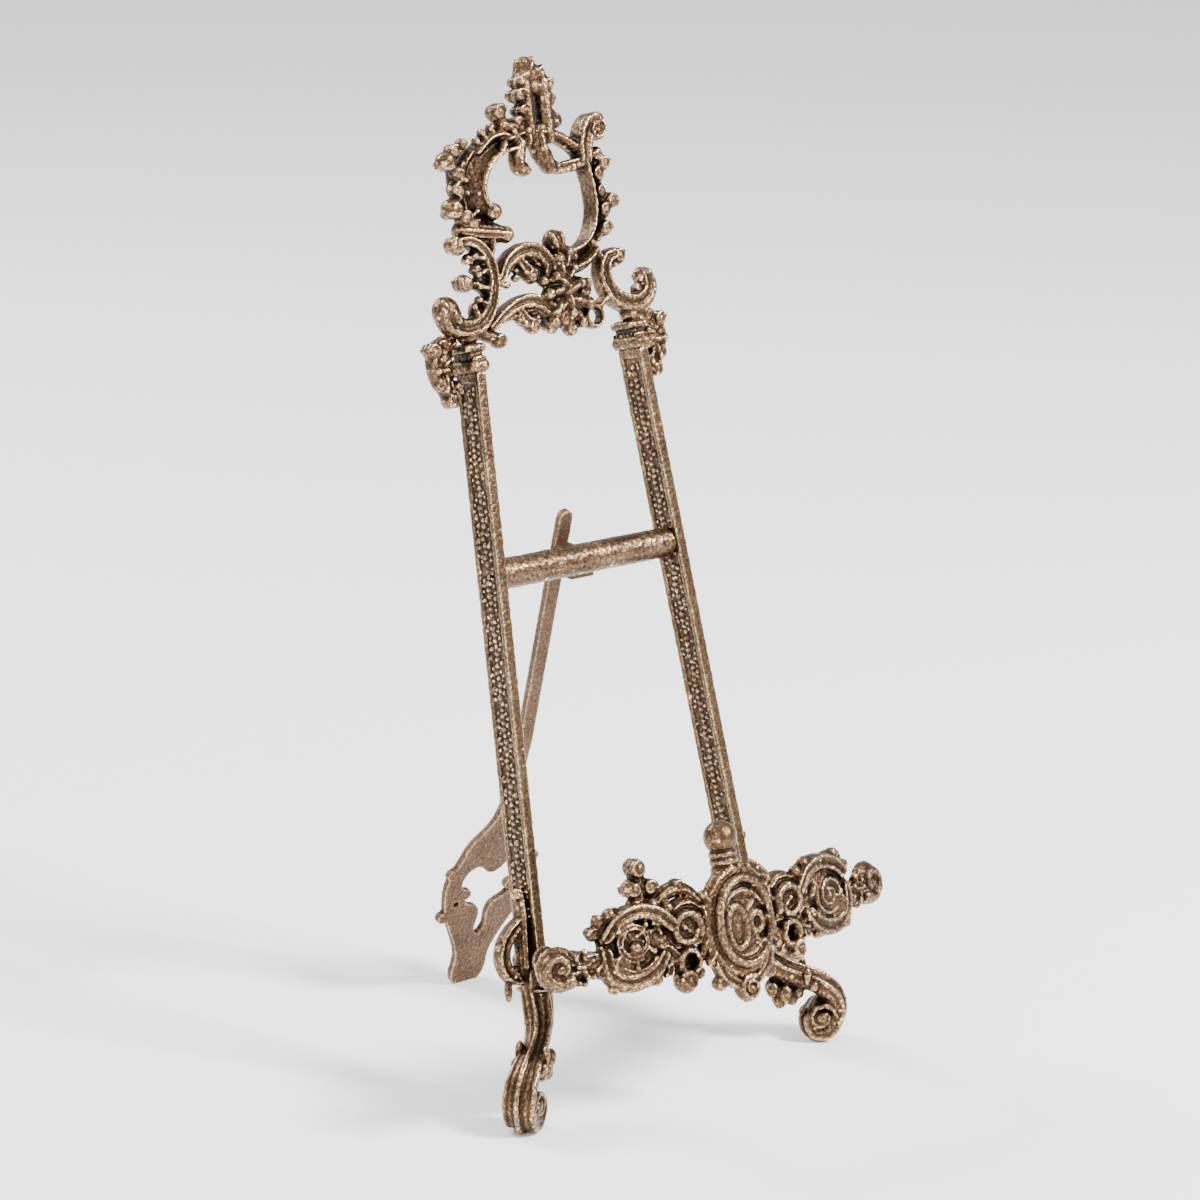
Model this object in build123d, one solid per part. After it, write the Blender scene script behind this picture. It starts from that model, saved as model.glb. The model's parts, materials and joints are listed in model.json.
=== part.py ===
from build123d import *
import math
import os

# A cast-brass tabletop display easel, in millimetres, +Z up, resting on Z = 0.
# It faces -Y. X = 0 is its middle plane, and the origin is the middle of its footprint.

# ---- driving dimensions -------------------------------------------------------------
LEAN = 15.0  # degrees that the frame leans back from upright
FRAME_Y = -38.3  # where the plane of the bars' front faces meets the table
BAR_WIDTH = 3.5  # each upright, across
BAR_DEPTH = 12.0  # each upright, front to back
HALF_GAP = 46.84  # half the gap between the uprights, measured at the table
TAPER = 0.0602  # how much that half gap closes for each millimetre up the frame
BAR_BOTTOM = 43.0  # heights along the frame, from the table line
BAR_TOP = 241.0
PANEL_DEPTH = 0.6  # recess in both broad sides of an upright
PANEL_FRONT_LIP = 1.9
PANEL_BACK_LIP = 2.1
CROSSBAR_HEIGHT = 175.5
CROSSBAR_RADIUS = 5.05
CREST_BACK = -8.6  # the crest's depth range, measured from the bars' front faces
CREST_FRONT = -0.4
BRACKET_BACK = -7.6
BRACKET_FRONT = -1.2
RAIL_MIDDLE = 44.0  # how far the ledge rail stands in front of the bars, at its middle
RAIL_BOW = 9.7  # how much nearer the rail is at BOW_REACH than at its middle
BOW_REACH = 64.5
RAIL_HEIGHT = 54.0
RAIL_THICK = 4.0
RAIL_TALL = 5.0
RAIL_HALF_LENGTH = 57.0
ARM_HEIGHT = 50.5
ARM_RADIUS = 4.2
SCREW_RADIUS = 1.5
SCREW_CLEARANCE = 0.05
PIN_RADIUS = 1.5
PIN_CLEARANCE = 0.05
LEG_WIDTH = 5.4
LEG_THICK = 2.6
LEG_TOP_Z = 182.5
LEG_BEND_Z = 97.5
UPPER_TILT = 13.6  # degrees from upright, above the bend
LOWER_TILT = 18.8  # and below it
PIVOT_Z = 165.0
PIVOT_BEHIND_CROSSBAR = 13.6
CHEEK_THICK = 1.6
CHEEK_GAP = 0.3  # side play between the leg and each cheek
STOP_GAP = 0.1  # between the open leg and its stop
LUG_RADIUS = 3.6
FOLD_ANGLE = 29.0  # how far the rear leg folds in towards the frame
FOOT_CONTACT_X = 65.0  # where each front foot meets the table
FOOT_CONTACT_BEHIND = -2.4  # and its distance behind the bars' table line
FOOT_SPLAY = 60.0  # degrees that a front foot turns outward from straight ahead

SIN = math.sin(math.radians(LEAN))
COS = math.cos(math.radians(LEAN))
CREST_MIDDLE = (CREST_BACK + CREST_FRONT) / 2
MIDDLE = Plane.YZ  # the middle plane, for the left and right copies

# The leaning frame's own axes: X across, Y up along the uprights, Z out of their front.
FRAME = Plane(origin=(0, FRAME_Y, 0), x_dir=(1, 0, 0), z_dir=(0, -COS, SIN)).location


def frame_to_world(height, front):
    """Y and Z of a point in the middle plane, from its place on the leaning frame."""
    return FRAME_Y + height * SIN - front * COS, height * COS + front * SIN


def inner_edge(height):
    """Half the gap between the uprights at a height along the frame."""
    return HALF_GAP - TAPER * height


# ---- shapes that the ornament is made of ----------------------------------------------
def ribbon(points, half_widths, back, front):
    """A scroll band: a curved centre line whose width changes from point to point."""
    edges = {1: [], -1: []}
    for i, (x, y) in enumerate(points):
        ahead = points[min(i + 1, len(points) - 1)]
        behind = points[max(i - 1, 0)]
        run = math.dist(ahead, behind)
        across = ((behind[1] - ahead[1]) / run, (ahead[0] - behind[0]) / run)
        for side, edge in edges.items():
            reach = side * half_widths[i]
            edge.append((x + across[0] * reach, y + across[1] * reach))
    left, right = edges[1], edges[-1][::-1]
    outline = Spline(*left) + Line(left[-1], right[0]) + Spline(*right) + Line(right[-1], left[0])
    body = Pos(0, 0, back) * extrude(make_face(outline), front - back)
    for end in (0, -1):
        cap = Cylinder(half_widths[end], front - back)
        body += Pos(*points[end], (front + back) / 2) * cap
    return body


def bead(x, y, radius, middle=CREST_MIDDLE):
    """A cast bead on a scroll, as a short round boss as deep as it is wide."""
    return Pos(x, y, middle) * Cylinder(radius, 1.8 * radius)


def beads(places, middle=CREST_MIDDLE):
    """Several beads, each given as x, height and radius."""
    return [bead(x, y, radius, middle) for x, y, radius in places]


def oval(x, y, half_width, half_height, back, front):
    """An oval plate."""
    return Pos(x, y, back) * extrude(Ellipse(half_width, half_height), front - back)


def oval_ring(x, y, half_width, half_height, rim, back, front):
    """An oval ring of even width."""
    hole = oval(x, y, half_width - rim, half_height - rim, back, front)
    return oval(x, y, half_width, half_height, back, front) - hole


def joined(shapes):
    """One casting made of several shapes."""
    whole = shapes[0]
    for shape in shapes[1:]:
        whole = whole + shape
    return whole


def mirrored(shape):
    """The left-hand copy of a right-hand part."""
    return mirror(shape, about=MIDDLE)


# ---- uprights, capitals and crossbar ---------------------------------------------------
def right_upright_shape():
    bottom, top = inner_edge(BAR_BOTTOM), inner_edge(BAR_TOP)
    outline = Polyline(
        (bottom, BAR_BOTTOM),
        (bottom + BAR_WIDTH, BAR_BOTTOM),
        (top + BAR_WIDTH, BAR_TOP),
        (top, BAR_TOP),
        close=True,
    )
    bar = Pos(0, 0, -BAR_DEPTH) * extrude(make_face(outline), BAR_DEPTH)
    low, high = BAR_BOTTOM + 16, BAR_TOP - 3
    panel_depth = BAR_DEPTH - PANEL_FRONT_LIP - PANEL_BACK_LIP
    for offset, sign in ((0, 1), (BAR_WIDTH, -1)):
        face_low, face_high = inner_edge(low) + offset, inner_edge(high) + offset
        recess = Polyline(
            (face_low - sign, low),
            (face_low + sign * PANEL_DEPTH, low),
            (face_high + sign * PANEL_DEPTH, high),
            (face_high - sign, high),
            close=True,
        )
        bar -= Pos(0, 0, PANEL_BACK_LIP - BAR_DEPTH) * extrude(make_face(recess), panel_depth)
    bar -= crossbar_screw_shape(SCREW_CLEARANCE)
    return bar - arm_screw_shape(SCREW_CLEARANCE)


def right_capital_shape():
    """The moulded block on an upright's top end: a torus, a waist and a square pad."""
    height = BAR_TOP
    x = inner_edge(height) + BAR_WIDTH / 2
    layers = ((4.2, 7.6, 14.2, 1.9), (2.8, 5.0, 10.0, 0.8), (2.6, 8.4, 11.0, 1.1))
    block = None
    for tall, wide, deep, rounding in layers:
        layer = fillet(Box(wide, tall, deep).edges(), rounding)
        layer = Pos(x, height + tall / 2, -BAR_DEPTH / 2) * layer
        block = layer if block is None else block + layer
        height += tall - 0.2
    return block - right_upright_shape()


CAPITAL_TOP = BAR_TOP + 4.2 + 2.8 + 2.6 - 0.4


def crossbar_shape():
    """A round bar cut to the slope of the uprights, drilled at both ends for its screws."""
    low, high = CROSSBAR_HEIGHT - 2 * CROSSBAR_RADIUS, CROSSBAR_HEIGHT + 2 * CROSSBAR_RADIUS
    length = 2 * HALF_GAP
    rod = Pos(0, CROSSBAR_HEIGHT, -BAR_DEPTH / 2) * Rot(0, 90, 0) * Cylinder(CROSSBAR_RADIUS, length)
    between = Polyline(
        (-inner_edge(low), low),
        (inner_edge(low), low),
        (inner_edge(high), high),
        (-inner_edge(high), high),
        close=True,
    )
    rod = rod & (Pos(0, 0, -2 * BAR_DEPTH) * extrude(make_face(between), 3 * BAR_DEPTH))
    screw = crossbar_screw_shape(SCREW_CLEARANCE)
    return rod - screw - mirrored(screw)


def crossbar_screw_shape(clearance=0.0):
    """A countersunk screw from an upright's outer side into the crossbar's end."""
    outer = inner_edge(CROSSBAR_HEIGHT) + BAR_WIDTH - PANEL_DEPTH
    grip = 11.0
    head = 1.6
    shank = Pos(outer - grip / 2, 0, 0) * Rot(0, 90, 0) * Cylinder(SCREW_RADIUS + clearance, grip)
    cone = Rot(0, 90, 0) * Cone(SCREW_RADIUS + clearance, SCREW_RADIUS + head + clearance, head)
    screw = shank + Pos(outer - head / 2 + 0.1, 0, 0) * cone
    if not clearance:
        screw -= Pos(outer + 0.1, 0, 0) * Box(1.0, 0.7, 4 * SCREW_RADIUS)
    return Pos(0, CROSSBAR_HEIGHT, -BAR_DEPTH / 2) * screw


# ---- crest ---------------------------------------------------------------------------------
def crest_cartouche_shape():
    """The open scroll ring: a broad left band, a thin right band with a horn, and beads."""
    left_band = ribbon(
        [(-4.5, 313), (-13, 312.5), (-19.5, 309), (-23.2, 303), (-24, 297), (-21.5, 291.5), (-17, 291)],
        [2.2, 2.8, 3.1, 3.2, 3.1, 2.7, 2.4],
        CREST_BACK,
        CREST_FRONT,
    )
    lip = ribbon(
        [(-28.5, 286.8), (-22, 286), (-15.5, 284.5), (-11, 284.6)],
        [2.9, 3.2, 2.2, 1.6],
        CREST_BACK,
        CREST_FRONT - 1,
    )
    right_band = ribbon(
        [(11, 274.2), (17.5, 276), (22.3, 280.5), (25, 287.5), (25.2, 295), (24.2, 302), (23.6, 308.5)],
        [1.9, 1.9, 1.8, 1.8, 1.8, 2.0, 2.6],
        CREST_BACK,
        CREST_FRONT,
    )
    horn = ribbon(
        [(23.2, 308.5), (24.2, 314), (27.6, 317.8), (31.4, 317.6), (32.2, 314.2)],
        [2.5, 2.8, 2.8, 2.4, 1.7],
        CREST_BACK + 1,
        CREST_FRONT + 0.6,
    )
    top_band = ribbon(
        [(-6, 314.5), (0, 315.8), (6, 315.6), (12.5, 314), (18, 311), (23, 307)],
        [2.4, 2.3, 2.1, 1.9, 1.9, 2.2],
        CREST_BACK + 1,
        CREST_FRONT - 0.6,
    )
    shoulder = ribbon(
        [(-19, 311.5), (-14, 315.2), (-9, 316), (-4, 315)],
        [1.8, 2.5, 2.3, 2.0],
        CREST_BACK,
        CREST_FRONT - 1.5,
    )
    leaf = ribbon(
        [(3.6, 312.5), (6.2, 307.5), (8.4, 303.2)],
        [2.6, 2.8, 1.5],
        CREST_BACK + 1.5,
        CREST_FRONT - 0.4,
    )
    curl = ribbon(
        [(7.4, 305), (12, 303), (16.4, 303.4), (21.5, 304)],
        [1.2, 1.6, 1.8, 1.6],
        CREST_BACK + 2,
        CREST_FRONT - 1,
    )
    left_beads = beads(
        [
            (-33.4, 309.3, 3.2),
            (-28.6, 311.4, 2.7),
            (-28.6, 307.2, 2.9),
            (-29.6, 299.4, 3.0),
            (-33.4, 294.2, 3.5),
            (-28.8, 293.2, 3.2),
            (-26.5, 289.5, 2.6),
            (-15.6, 291.5, 3.0),
        ]
    )
    right_beads = beads(
        [
            (31.2, 302.6, 2.5),
            (28.4, 300.2, 2.3),
            (30.0, 297.2, 1.9),
            (33.0, 290.4, 2.8),
            (29.0, 288.4, 2.6),
            (28.0, 282.0, 2.1),
            (26.2, 285.0, 2.0),
        ]
    )
    bands = [left_band, lip, shoulder, top_band, right_band, horn, leaf, curl]
    spine = ribbon(
        [(-26.8, 288), (-26.6, 293), (-27, 299), (-26, 306), (-22, 311)],
        [2.2, 2.4, 2.4, 2.4, 2.0],
        CREST_BACK,
        CREST_FRONT - 3,
    )
    return joined(bands + [spine] + left_beads + right_beads)


def crest_finial_shape():
    """The stepped top: two beaded stems with a slit between them, a cap and a pendant."""
    left_stem = ribbon(
        [(1.8, 314.6), (1.8, 321), (2.6, 326.5), (2.4, 331.3)],
        [2.4, 2.0, 2.3, 2.5],
        CREST_BACK + 1,
        CREST_FRONT + 0.6,
    )
    right_stem = ribbon(
        [(9.6, 316.4), (9.8, 320.5), (10.4, 326), (11, 331.4)],
        [2.2, 2.3, 2.7, 2.8],
        CREST_BACK + 1,
        CREST_FRONT + 0.6,
    )
    bridge = ribbon(
        [(2.6, 329), (6.6, 329.6), (10.5, 329)],
        [2.4, 3.2, 2.6],
        CREST_BACK + 2,
        CREST_FRONT,
    )
    cap = ribbon(
        [(2.6, 334.6), (6.6, 336.4), (11, 334.8)],
        [1.8, 3.3, 1.9],
        CREST_BACK + 1.5,
        CREST_FRONT + 1.2,
    )
    base = ribbon(
        [(-8.4, 319.2), (-4, 318.2), (1, 318), (7, 317.8), (13.4, 318.4)],
        [1.6, 1.8, 1.8, 1.7, 1.8],
        CREST_BACK + 2,
        CREST_FRONT - 0.5,
    )
    pendant = ribbon(
        [(-3, 312), (-4.6, 307.5), (-4.6, 303.8), (-2.2, 303), (-1, 305.2)],
        [2.4, 2.3, 2.0, 1.6, 1.1],
        CREST_BACK + 2,
        CREST_FRONT + 0.4,
    )
    knobs = [
        bead(5.6, 337.4, 3.2),
        bead(-9.2, 323.0, 3.4),
        bead(14.8, 318.6, 2.2),
        bead(0.4, 313.6, 2.4, CREST_FRONT - 1),
        bead(5.2, 312.8, 2.6, CREST_FRONT - 1),
    ]
    neck = ribbon([(-6.2, 319), (-9.2, 322)], [1.6, 1.7], CREST_BACK + 2.5, CREST_FRONT - 1.5)
    return joined([bridge, left_stem, right_stem, cap, base, pendant, neck] + knobs)


def crest_left_scroll_shape():
    """The scroll that carries the ring on the left capital, with its upturned leaf."""
    band = ribbon(
        [(-33, 283), (-28.4, 282.6), (-24.4, 279.4), (-22.4, 274), (-22.4, 268), (-24.6, 261.6)],
        [1.7, 1.7, 1.7, 1.7, 1.8, 2.1],
        BRACKET_BACK,
        BRACKET_FRONT,
    )
    base = ribbon(
        [(-24.6, 261.6), (-29, 257), (-35, 255.4), (-40.4, 256.6), (-41.6, 261)],
        [2.1, 2.6, 3.0, 4.4, 4.6],
        BRACKET_BACK,
        BRACKET_FRONT,
    )
    spur = ribbon([(-32.6, 269.6), (-27.6, 268.8), (-23, 265.4)], [1.7, 1.9, 1.7], BRACKET_BACK + 1, BRACKET_FRONT)
    bud = ribbon([(-22.4, 250.4), (-26.5, 252.2), (-30.5, 254.4)], [1.7, 1.6, 1.6], BRACKET_BACK + 1.5, BRACKET_FRONT)
    knobs = beads([(-33.8, 282, 3.1), (-33.4, 269.8, 2.9), (-22.2, 249.6, 2.4), (-15.8, 267.4, 1.5), (-30.4, 277.6, 1.7)])
    arm = ribbon([(-15.8, 267.4), (-19, 268.4), (-22.4, 270)], [1.0, 1.1, 1.3], BRACKET_BACK + 2, BRACKET_FRONT - 1.5)
    strut = ribbon([(-30.4, 277.6), (-27, 279)], [1.2, 1.3], BRACKET_BACK + 2, BRACKET_FRONT - 1.5)
    link = ribbon(
        [(-22.6, 276), (-19.5, 280), (-19, 284.2)],
        [1.7, 1.9, 2.0],
        BRACKET_BACK,
        BRACKET_FRONT - 0.6,
    )
    seat = Pos(-34, CAPITAL_TOP + 1.6, (BRACKET_BACK + BRACKET_FRONT) / 2) * Box(8.0, 3.2, 6.0)
    return joined([band, base, spur, bud, arm, strut, link, seat] + knobs)


def crest_right_scroll_shape():
    """The hooked scroll on the right capital."""
    band = ribbon(
        [(29.6, 273.2), (25.6, 271.6), (23.8, 267), (25.3, 261.4), (29.8, 257.2), (36, 255.2), (40.6, 256.6)],
        [1.6, 1.7, 1.7, 1.9, 2.3, 2.7, 2.7],
        BRACKET_BACK,
        BRACKET_FRONT,
    )
    hook = ribbon([(40.6, 256.6), (43.4, 260.2), (42.6, 264.4)], [2.7, 2.6, 2.1], BRACKET_BACK + 0.6, BRACKET_FRONT + 0.4)
    knobs = beads([(32.2, 271.6, 2.8), (37.5, 259.8, 1.9), (40.4, 263.2, 2.1)])
    seat = Pos(34, CAPITAL_TOP + 1.6, (BRACKET_BACK + BRACKET_FRONT) / 2) * Box(8.0, 3.2, 6.0)
    link = ribbon([(22, 277.5), (23.6, 274), (24.6, 270)], [1.8, 1.8, 1.6], BRACKET_BACK, BRACKET_FRONT - 0.6)
    return joined([band, hook, seat, link] + knobs)


def crest_foliage_shape():
    """The leaf sprays, flower and shell bud between the two scrolls, below the ring."""
    upper_leaf = ribbon(
        [(-19, 270), (-14.6, 275.4), (-8, 278.2), (-2, 276.8), (1, 272.4)],
        [1.4, 1.9, 2.3, 2.2, 1.6],
        CREST_BACK + 1.5,
        CREST_FRONT,
    )
    inner_curl = ribbon(
        [(-10.4, 275.4), (-7.4, 271.6), (-5, 269.4)],
        [1.4, 2.2, 2.2],
        CREST_BACK + 2,
        CREST_FRONT - 0.6,
    )
    lower_leaf = ribbon(
        [(-25, 254.8), (-18, 259.4), (-10, 261.6), (-2.6, 259.8), (0.6, 255), (0, 250.6)],
        [1.4, 1.7, 2.0, 2.3, 1.9, 1.7],
        CREST_BACK + 1.5,
        CREST_FRONT,
    )
    hanging_curl = ribbon(
        [(-13.6, 259), (-11.4, 255.4), (-8.2, 253.6)],
        [1.6, 1.8, 2.0],
        CREST_BACK + 2,
        CREST_FRONT - 0.6,
    )
    flower_back = ribbon(
        [(4, 275), (6.6, 268), (6, 260), (5, 252.4)],
        [4.2, 5.4, 4.6, 3.0],
        CREST_BACK + 1.5,
        CREST_FRONT - 2,
    )
    side_leaf = ribbon(
        [(8, 270.4), (14, 270.6), (19, 272.4), (22.6, 275.4)],
        [2.4, 2.6, 2.2, 1.6],
        CREST_BACK + 1.5,
        CREST_FRONT - 1,
    )
    petals = beads(
        [
            (3.4, 270.6, 3.2),
            (8.4, 271.2, 2.9),
            (12.4, 267.6, 2.7),
            (1.2, 265.4, 3.0),
            (6.6, 264.6, 3.3),
            (10.8, 261.8, 2.8),
            (3.4, 259.6, 2.9),
            (8.4, 257.4, 3.0),
            (3.8, 253.0, 3.0),
            (7.4, 250.6, 2.8),
            (14.6, 263.2, 2.3),
            (14.4, 258.8, 2.2),
        ],
        CREST_FRONT - 2.4,
    )
    loop = oval_ring(17.4, 253.7, 4.6, 4.6, 2.2, CREST_BACK + 2, CREST_FRONT - 1)
    loop_link = ribbon([(20.4, 256.4), (23, 258.6), (25.6, 259.4)], [1.4, 1.5, 1.6], CREST_BACK + 2, CREST_FRONT - 1)
    loop_tie = ribbon([(13.6, 253), (9, 254)], [1.8, 2.2], CREST_BACK + 2, CREST_FRONT - 1)
    shell = Pos(6.4, 278.8, CREST_MIDDLE) * fillet(Cylinder(4.6, 7.6).edges(), 3.6)
    leaves = [flower_back, upper_leaf, inner_curl, lower_leaf, hanging_curl, side_leaf, loop, loop_link, loop_tie]
    return joined(leaves + [shell] + petals)


def right_drop_shape():
    """The curled leaf that hangs outside a capital."""
    leaf = ribbon(
        [(40.4, 252.6), (44, 251.4), (46.4, 247), (46, 241.6), (43.4, 237.4), (42.4, 234.6)],
        [1.7, 2.2, 2.4, 2.5, 2.3, 2.0],
        -10.6,
        -5.0,
    )
    knobs = beads([(47.6, 249.6, 2.7), (43.2, 243.0, 2.6), (42.8, 233.6, 2.8), (39.2, 237.6, 1.8)], -8.4)
    rib = ribbon([(39.2, 237.6), (42.6, 240)], [1.3, 1.6], -10, -6.5)
    return joined([leaf, rib] + knobs)


# ---- ledge -------------------------------------------------------------------------------
def rail_front(x):
    """How far the middle of the rail's thickness stands in front of the bars at x."""
    return RAIL_MIDDLE - RAIL_BOW * (x / BOW_REACH) ** 2


def on_rail(x, shape):
    """Turns a shape drawn flat, in frame coordinates, to lie along the bowed rail at x."""
    turn = math.degrees(math.atan(2 * RAIL_BOW * x / BOW_REACH**2))
    return Pos(x, 0, rail_front(x)) * Rot(0, turn, 0) * Pos(-x, 0, 0) * shape


def ledge_rail_shape():
    """The plain bowed bar that everything on the ledge is cast against."""
    half = RAIL_THICK / 2
    end = rail_front(RAIL_HALF_LENGTH)
    length = RAIL_HALF_LENGTH
    front = ThreePointArc((-length, end + half), (0, RAIL_MIDDLE + half), (length, end + half))
    back = ThreePointArc((length, end - half), (0, RAIL_MIDDLE - half), (-length, end - half))
    sides = Line((length, end + half), (length, end - half)) + Line((-length, end - half), (-length, end + half))
    plan = make_face(front + back + sides)
    bar = Rot(90, 0, 0) * extrude(plan, RAIL_TALL)
    return Pos(0, RAIL_HEIGHT + RAIL_TALL / 2, 0) * bar


def right_arm_shape():
    """The round arm from an upright's front face to the rail, tapped for its screw."""
    x = inner_edge(ARM_HEIGHT) + BAR_WIDTH / 2
    length = rail_front(x) + RAIL_THICK
    rod = Pos(x, ARM_HEIGHT, length / 2) * Cylinder(ARM_RADIUS, length)
    flange = Pos(x, ARM_HEIGHT, 0.9) * fillet(Cylinder(ARM_RADIUS + 0.9, 1.8).edges(), 0.6)
    return rod + flange - ledge_rail_shape() - arm_screw_shape(SCREW_CLEARANCE)


def arm_screw_shape(clearance=0.0):
    """A round-headed screw through an upright from behind into the ledge arm."""
    x = inner_edge(ARM_HEIGHT) + BAR_WIDTH / 2
    grip = 10.0
    head_tall = 1.7
    shank_length = BAR_DEPTH + grip
    shank = Pos(x, ARM_HEIGHT, grip - shank_length / 2) * Cylinder(SCREW_RADIUS + clearance, shank_length)
    if clearance:
        return shank
    head = fillet(Cylinder(SCREW_RADIUS + 1.2, head_tall).faces().sort_by(Axis.Z)[0].edges(), 0.8)
    head = Pos(x, ARM_HEIGHT, -BAR_DEPTH - head_tall / 2) * head
    slot = Pos(x, ARM_HEIGHT, -BAR_DEPTH - head_tall) * Box(4 * SCREW_RADIUS, 0.8, 1.4)
    return shank + head - slot


def right_ledge_scrolls_shape():
    """The right half of the openwork ledge: C ring, ribbed shell, end volute and leaves."""
    ring = [
        oval_ring(21.5, 57.5, 7.4, 7.2, 2.4, -2.5, 4.5),
        oval(21.5, 57.5, 5.4, 5.2, -1.0, 1.5),
        oval_ring(21.4, 46.8, 5.6, 5.4, 2.2, -2.0, 3.5),
        ribbon([(14, 52), (12.4, 56), (13.5, 62)], [2, 2.2, 2], -2, 3),
    ]
    ring += beads([(23.8, 40.4, 4.4)], 0.8)
    shell = [
        oval(41, 55, 10.2, 10.6, -2.5, 1.6),
        oval_ring(41, 55, 10.2, 10.6, 1.7, -2.5, 4.4),
        oval_ring(41, 55, 7.0, 7.6, 1.3, 0, 3.2),
        oval_ring(41, 55, 4.4, 4.8, 1.2, 0, 3.8),
        bead(41, 55, 2.4, 1.6),
        ribbon(
            [(27, 60.6), (31.6, 65.2), (38, 67.4), (45, 65.8), (50, 61.2)],
            [2.2, 2.1, 2.1, 2.0, 1.6],
            -2.5,
            4,
        ),
        ribbon(
            [(30.4, 51), (34.6, 46.4), (41.4, 44), (47.6, 45.2), (50.6, 50), (51, 56)],
            [1.8, 2.2, 2.3, 2.5, 2.0, 1.6],
            -2.5,
            3.6,
        ),
        ribbon([(51.4, 63.4), (50.2, 60), (50, 56)], [1.8, 1.9, 1.8], -2.5, 1.5),
    ]
    shell += beads([(50.6, 65.4, 2.3), (53.4, 62.4, 2.2)], -0.5)
    shell.append(ribbon([(53.4, 62.4), (50.6, 60)], [1.4, 1.6], -2, 1))
    volute = [
        ribbon(
            [(51, 52.6), (57.6, 50.4), (65, 50), (71, 52.2), (72.6, 56), (68.6, 58.6), (64, 57.4)],
            [2.2, 2.2, 2.1, 2.3, 2.1, 1.9, 1.5],
            -3,
            3.4,
        ),
        oval(66.6, 54.6, 4.4, 3.4, -2.2, 1.4),
        bead(65.6, 54.4, 2.0, 1.0),
    ]
    placed = [on_rail(21.5, shape) for shape in ring]
    placed += [on_rail(41, shape) for shape in shell]
    placed += [on_rail(62, shape) for shape in volute]
    joint_block = on_rail(31, Pos(31, 56, 0) * Box(8, 6, 4))
    return joined([joint_block] + placed)


def left_ledge_finial_shape():
    """The three-lobed bead finial on the left shell, and the leaf arch beside it."""
    x = -34.5
    lobes = beads([(x, 79.4, 3.4), (x - 2.6, 73.4, 3.3), (x + 3.0, 73, 3.3)], -1.5)
    stalk = ribbon([(x - 1, 66), (x, 73), (x, 78)], [2.6, 2.6, 2.2], -3.6, 0.8)
    arch = ribbon(
        [(-34, 67), (-30, 67.2), (-26.4, 69.4), (-21.4, 70.6), (-17, 68.6), (-13.8, 65.2)],
        [2.2, 2.2, 2.4, 2.6, 2.0, 1.8],
        -2.8,
        1.2,
    )
    pieces = [on_rail(x, shape) for shape in [stalk] + lobes]
    return joined(pieces + [on_rail(-27, arch)])


def medallion_shape():
    """The oval drum in the middle of the ledge, with a raised rim and crossed straps."""
    drum = oval(0, 55.5, 13.8, 17.0, -1.6, 2.6) + oval(0, 55.5, 12.4, 15.8, 2.6, 4.0)
    rim = oval_ring(0, 55.5, 12.4, 15.8, 1.7, 4.0, 5.6)
    straps = [
        oval_ring(-4.6, 55, 5.0, 10.4, 1.4, 4.0, 5.2),
        oval_ring(3.6, 54.6, 3.6, 4.2, 1.3, 4.0, 5.2),
        ribbon([(-3, 67.4), (2, 64.6), (6, 60.4), (7.6, 56)], [1.4, 1.6, 1.4, 1.0], 4.0, 5.2),
        ribbon([(1.4, 50.8), (3.4, 46.4), (1, 43)], [1.2, 1.3, 1.1], 4.0, 5.2),
    ]
    body = joined([drum, rim] + straps)
    return Pos(0, 0, RAIL_MIDDLE) * body - ledge_rail_shape()


BALL_HEIGHT = 82.6
BALL_FRONT = 42.6


def ball_finial_shape():
    """The smooth ball on its ringed stem, above the medallion."""
    ball = Pos(0, BALL_HEIGHT, BALL_FRONT) * Sphere(5.5)
    turned = Rot(90, 0, 0)
    stem = Pos(0, 73.5, BALL_FRONT) * turned * Cylinder(3.6, 12)
    rings = [Pos(0, height, BALL_FRONT) * turned * Torus(3.5, 1.2) for height in (72.2, 74.8, 77.2)]
    return joined([stem, ball] + rings) - medallion_shape()


def rosette_shape():
    """The small round boss below the medallion and the two leaves that hold it."""
    disc = Pos(0, 33.6, 1) * Cylinder(5.4, 5.0)
    disc += Pos(0, 33.6, 3.5) * Torus(4.0, 0.9)
    disc += bead(0, 33.6, 1.8, 3.2)
    leaves = [
        ribbon([(4.6, 36), (8.4, 39), (10.6, 43)], [1.9, 2.2, 2.2], -1.2, 3),
        ribbon([(-4.6, 36), (-8.4, 39), (-10.6, 43)], [1.9, 2.2, 2.2], -1.2, 3),
    ]
    whole = Pos(0, 0, RAIL_MIDDLE) * joined([disc] + leaves)
    return whole - medallion_shape()


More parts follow.
